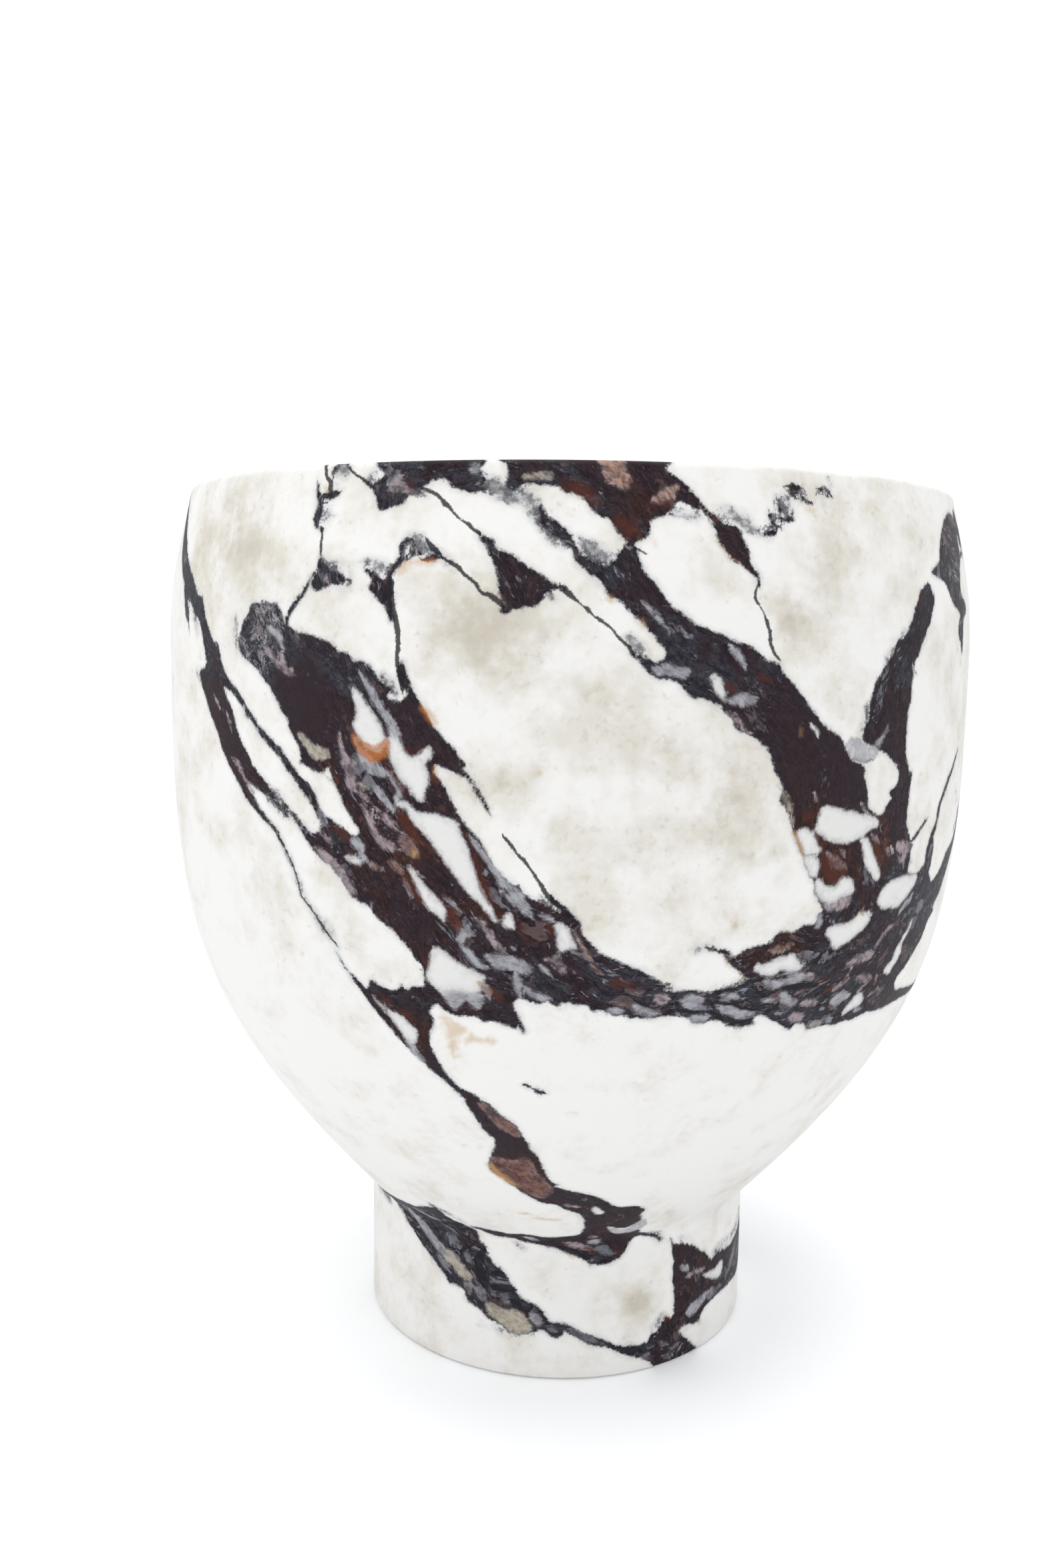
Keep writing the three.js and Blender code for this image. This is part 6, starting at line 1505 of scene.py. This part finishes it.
    # fragments: soft greyish edges, a clearer middle, the darker ones veiled by the matter
    color = f.attribute("pale_color", "Color")
    bright = f.parts(color)[1].between(0.2, 0.7)
    border = pale + coarse * 0.6 + ragged * 1.5 + gritty * 0.9 + fibre * (2.6 - bright * 1.3)
    in_pale = border.between(0.65, -0.7)
    fragment = f.mix((border + fine * 2).between(-2.2, 0.2) * 0.35, color, (0.3, 0.3, 0.33))
    fragment = f.mix((fine * 1.6 + mottle).between(0.05, 0.6) * 0.25, fragment, (0.42, 0.4, 0.38))
    veiled = (ragged + fibre * 1.6 + fine + coarse * 1.2).between(-0.35, 0.42) * 0.88 * (1 - bright)
    stone = f.mix(in_pale * (1 - veiled), stone, fragment)
    rubbed = (stain + ragged * 2 + coarse).between(0.7, -0.4) * in_pale * (pale + fine * 3).between(-3.4, -0.4)
    stone = f.mix(rubbed * 0.85, stone, stain_color)

    line = (threads + gritty * 0.8 + ragged * 0.3).between(0.25, -0.25)
    stone = f.mix(line * 0.92, stone, (0.018, 0.018, 0.023))

    rough = fine * 0.12 + 0.45
    bump = f.node("Bump", None, 0, Strength=0.05, Distance=0.0006, Height=ragged * 0.6 - dark * 0.3)
    return f.surface(
        Base_Color=stone, Roughness=rough, Normal=bump, IOR=1.45, Specular_IOR_Level=0.08,
    )


def felt():
    f = Finish("pressed_felt")
    fibre = f.noise(0.4, 6, 0.75, warp=1.5)
    tuft = f.noise(2.4, 4)
    color = f.mix(fibre.between(0.3, 0.7), (0.16, 0.155, 0.15), (0.34, 0.33, 0.315))
    color = f.mix(tuft.between(0.45, 0.7) * 0.4, color, (0.2, 0.195, 0.185))
    bump = f.node("Bump", None, 0, Strength=0.6, Distance=0.0004, Height=fibre)
    return f.surface(**{"Base_Color": color, "Roughness": 0.95, "Normal": bump})


def vase():
    veins = [Vein(points, seed) for seed, points in enumerate(BACK_VEINS)]
    hairs = [Vein(points, seed + 50) for seed, points in enumerate(BACK_HAIRS)]
    areas = DARK_AREAS + [vein.body() for vein in veins]
    strokes = DARK_STROKES + [stroke for vein in veins for stroke in vein.offshoots(16)]
    lines = THREADS + HAIRLINES + [hair.hair() for hair in hairs]
    fragments = PALE_AREAS + [mark for vein in veins for mark in vein.fragments(7)]
    haze = HAZE + [mark for vein in veins for mark in vein.smoke(24)]
    matter = MATTER + [spot for vein in veins for spot in vein.matter(16)]
    flow = FLOW_LINES + [[point[:2] for point in vein.points] for vein in veins]

    piece = turned("vase_stone", outline())
    split_near(
        piece, areas + [points for color, points in fragments],
        strokes + lines + [points for color, points in PALE_STROKES],
    )
    skin = Skin(piece.data)
    pale = [(color, *skin.area(points)) for color, points in fragments]
    pale_strokes = [(color, *skin.stroke(points)) for color, points in PALE_STROKES]
    stains = [(color, *skin.stroke(points)) for color, points in STAINS]
    tone, carried = skin.blend(matter)
    for name, values in (
        ("vein", nearest_area(skin, [skin.area(p) for p in areas])),
        ("vein_stroke", nearest_stroke(skin, [skin.stroke(p) for p in strokes])),
        ("thread", nearest_stroke(skin, [skin.stroke(p) for p in lines])),
        ("haze", nearest_area(skin, [skin.stroke(p)[:2] for p in haze])),
        ("pale", nearest_area(skin, [mark[1:] for mark in pale])),
        ("pale_stroke", nearest_stroke(skin, [mark[1:] for mark in pale_strokes])),
        ("pale_color", blended_color(skin, pale + [mark[:3] for mark in pale_strokes])),
        ("stain", nearest_area(skin, [mark[1:3] for mark in stains])),
        ("stain_color", blended_color(skin, [mark[:3] for mark in stains])),
        ("tone", tone), ("carried", carried), ("across", skin.across(flow)),
        # the clouds carry painted light below the belly and on the foot and painted shade high at the left, besides the
        # stone's own clouds
        ("clouds_and_painted_light", skin.clouds_and_painted_light(CLOUDS_AND_PAINTED_LIGHT + grown_clouds(7))),
    ):
        keep(piece.data, name, values)
    piece.data.materials.append(marble())
    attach(piece, "root")
    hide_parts("vase_body")


def felt_disc():
    crown = 0.25
    points = [
        Vector((0, 0)), Vector((FELT_RADIUS - crown, 0)), Vector((FELT_RADIUS, crown)),
        Vector((FELT_RADIUS, FELT_THICKNESS - crown)), Vector((FELT_RADIUS - crown, FELT_THICKNESS)),
        Vector((0, FELT_THICKNESS)),
    ]
    piece = turned("felt_disc", points, 160)
    piece.data.materials.append(felt())
    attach(piece, "root")
    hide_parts("felt_pad")


# The room: a white floor with painted shade round the foot, an even white surround and two soft lamps
FLOOR_SIZE = 12


def floor():
    bpy.ops.mesh.primitive_plane_add(size=FLOOR_SIZE, location=(0, 0, 0))
    piece = bpy.context.object
    piece.name = "floor"
    f = Finish("white_floor")
    camera_ray = f.node("LightPath", None, "Is Camera Ray")
    reach = f.node("VectorMath", {"operation": "LENGTH"}, "Value", Vector=f.place())
    # painted shade: the floor's camera-seen lift falls to half near the foot, darkening the floor round the vase, and
    # its blue tint gives that painted shade a bluish cast
    camera_lift_and_painted_shade = camera_ray * (reach.between(FOOT_RADIUS * MM, 0.22) * 0.5 + 0.5)
    camera_lift_and_painted_shade = f.mix(camera_lift_and_painted_shade, (0, 0, 0), (0.94, 0.97, 1))
    f.surface(Base_Color=(0.93, 0.936, 0.95, 1), Roughness=0.9, Emission_Color=camera_lift_and_painted_shade, Emission_Strength=0.3)
    piece.data.materials.append(f.material)


def surround():
    world = bpy.data.worlds.new("white_surround")
    bpy.context.scene.world = world
    world.use_nodes = True
    tree = world.node_tree
    tree.nodes.clear()
    path = tree.nodes.new("ShaderNodeLightPath")
    seen = Wire(tree, path.outputs["Is Camera Ray"])
    background = tree.nodes.new("ShaderNodeBackground")
    background.inputs["Color"].default_value = (1, 1, 1, 1)
    connect(tree, background.inputs["Strength"], seen * 0.15 + 0.9)
    out = tree.nodes.new("ShaderNodeOutputWorld")
    tree.links.new(background.outputs[0], out.inputs["Surface"])


def lamp(name, place, aim, size, power):
    light = bpy.data.lights.new(name, "AREA")
    light.shape = "DISK"
    light.size = size
    light.energy = power
    holder = bpy.data.objects.new(name, light)
    holder.location = place
    holder.rotation_euler = (Vector(aim) - Vector(place)).to_track_quat("-Z", "Y").to_euler()
    bpy.context.collection.objects.link(holder)


# Where the photograph was taken from: the camera's distance and height in metres, and its turns
CAMERA_DISTANCE = 0.4962
CAMERA_HEIGHT = 0.2586
CAMERA_YAW = radians(-1.748)
CAMERA_PITCH = radians(7.216)
CAMERA_ROLL = radians(0.83)
LENS = 30.6


def camera():
    data = bpy.data.cameras.new("camera")
    data.lens = LENS
    holder = bpy.data.objects.new("camera", data)
    turn = Matrix.Rotation(-CAMERA_YAW, 4, "Z") @ Matrix.Rotation(pi / 2 - CAMERA_PITCH, 4, "X")
    turn = turn @ Matrix.Rotation(CAMERA_ROLL, 4, "Z")
    holder.matrix_world = Matrix.Translation((0, -CAMERA_DISTANCE, CAMERA_HEIGHT)) @ turn
    bpy.context.collection.objects.link(holder)
    bpy.context.scene.camera = holder


camera()
vase()
felt_disc()
floor()
surround()
lamp("top_softbox", (-0.2, -0.1, 1.7), (0, 0, 0), 1.8, 10)
lamp("left_softbox", (-1.2, -0.5, 0.5), (0, 0, 0.15), 0.9, 0.6)
bpy.context.scene.view_settings.view_transform = "Standard"
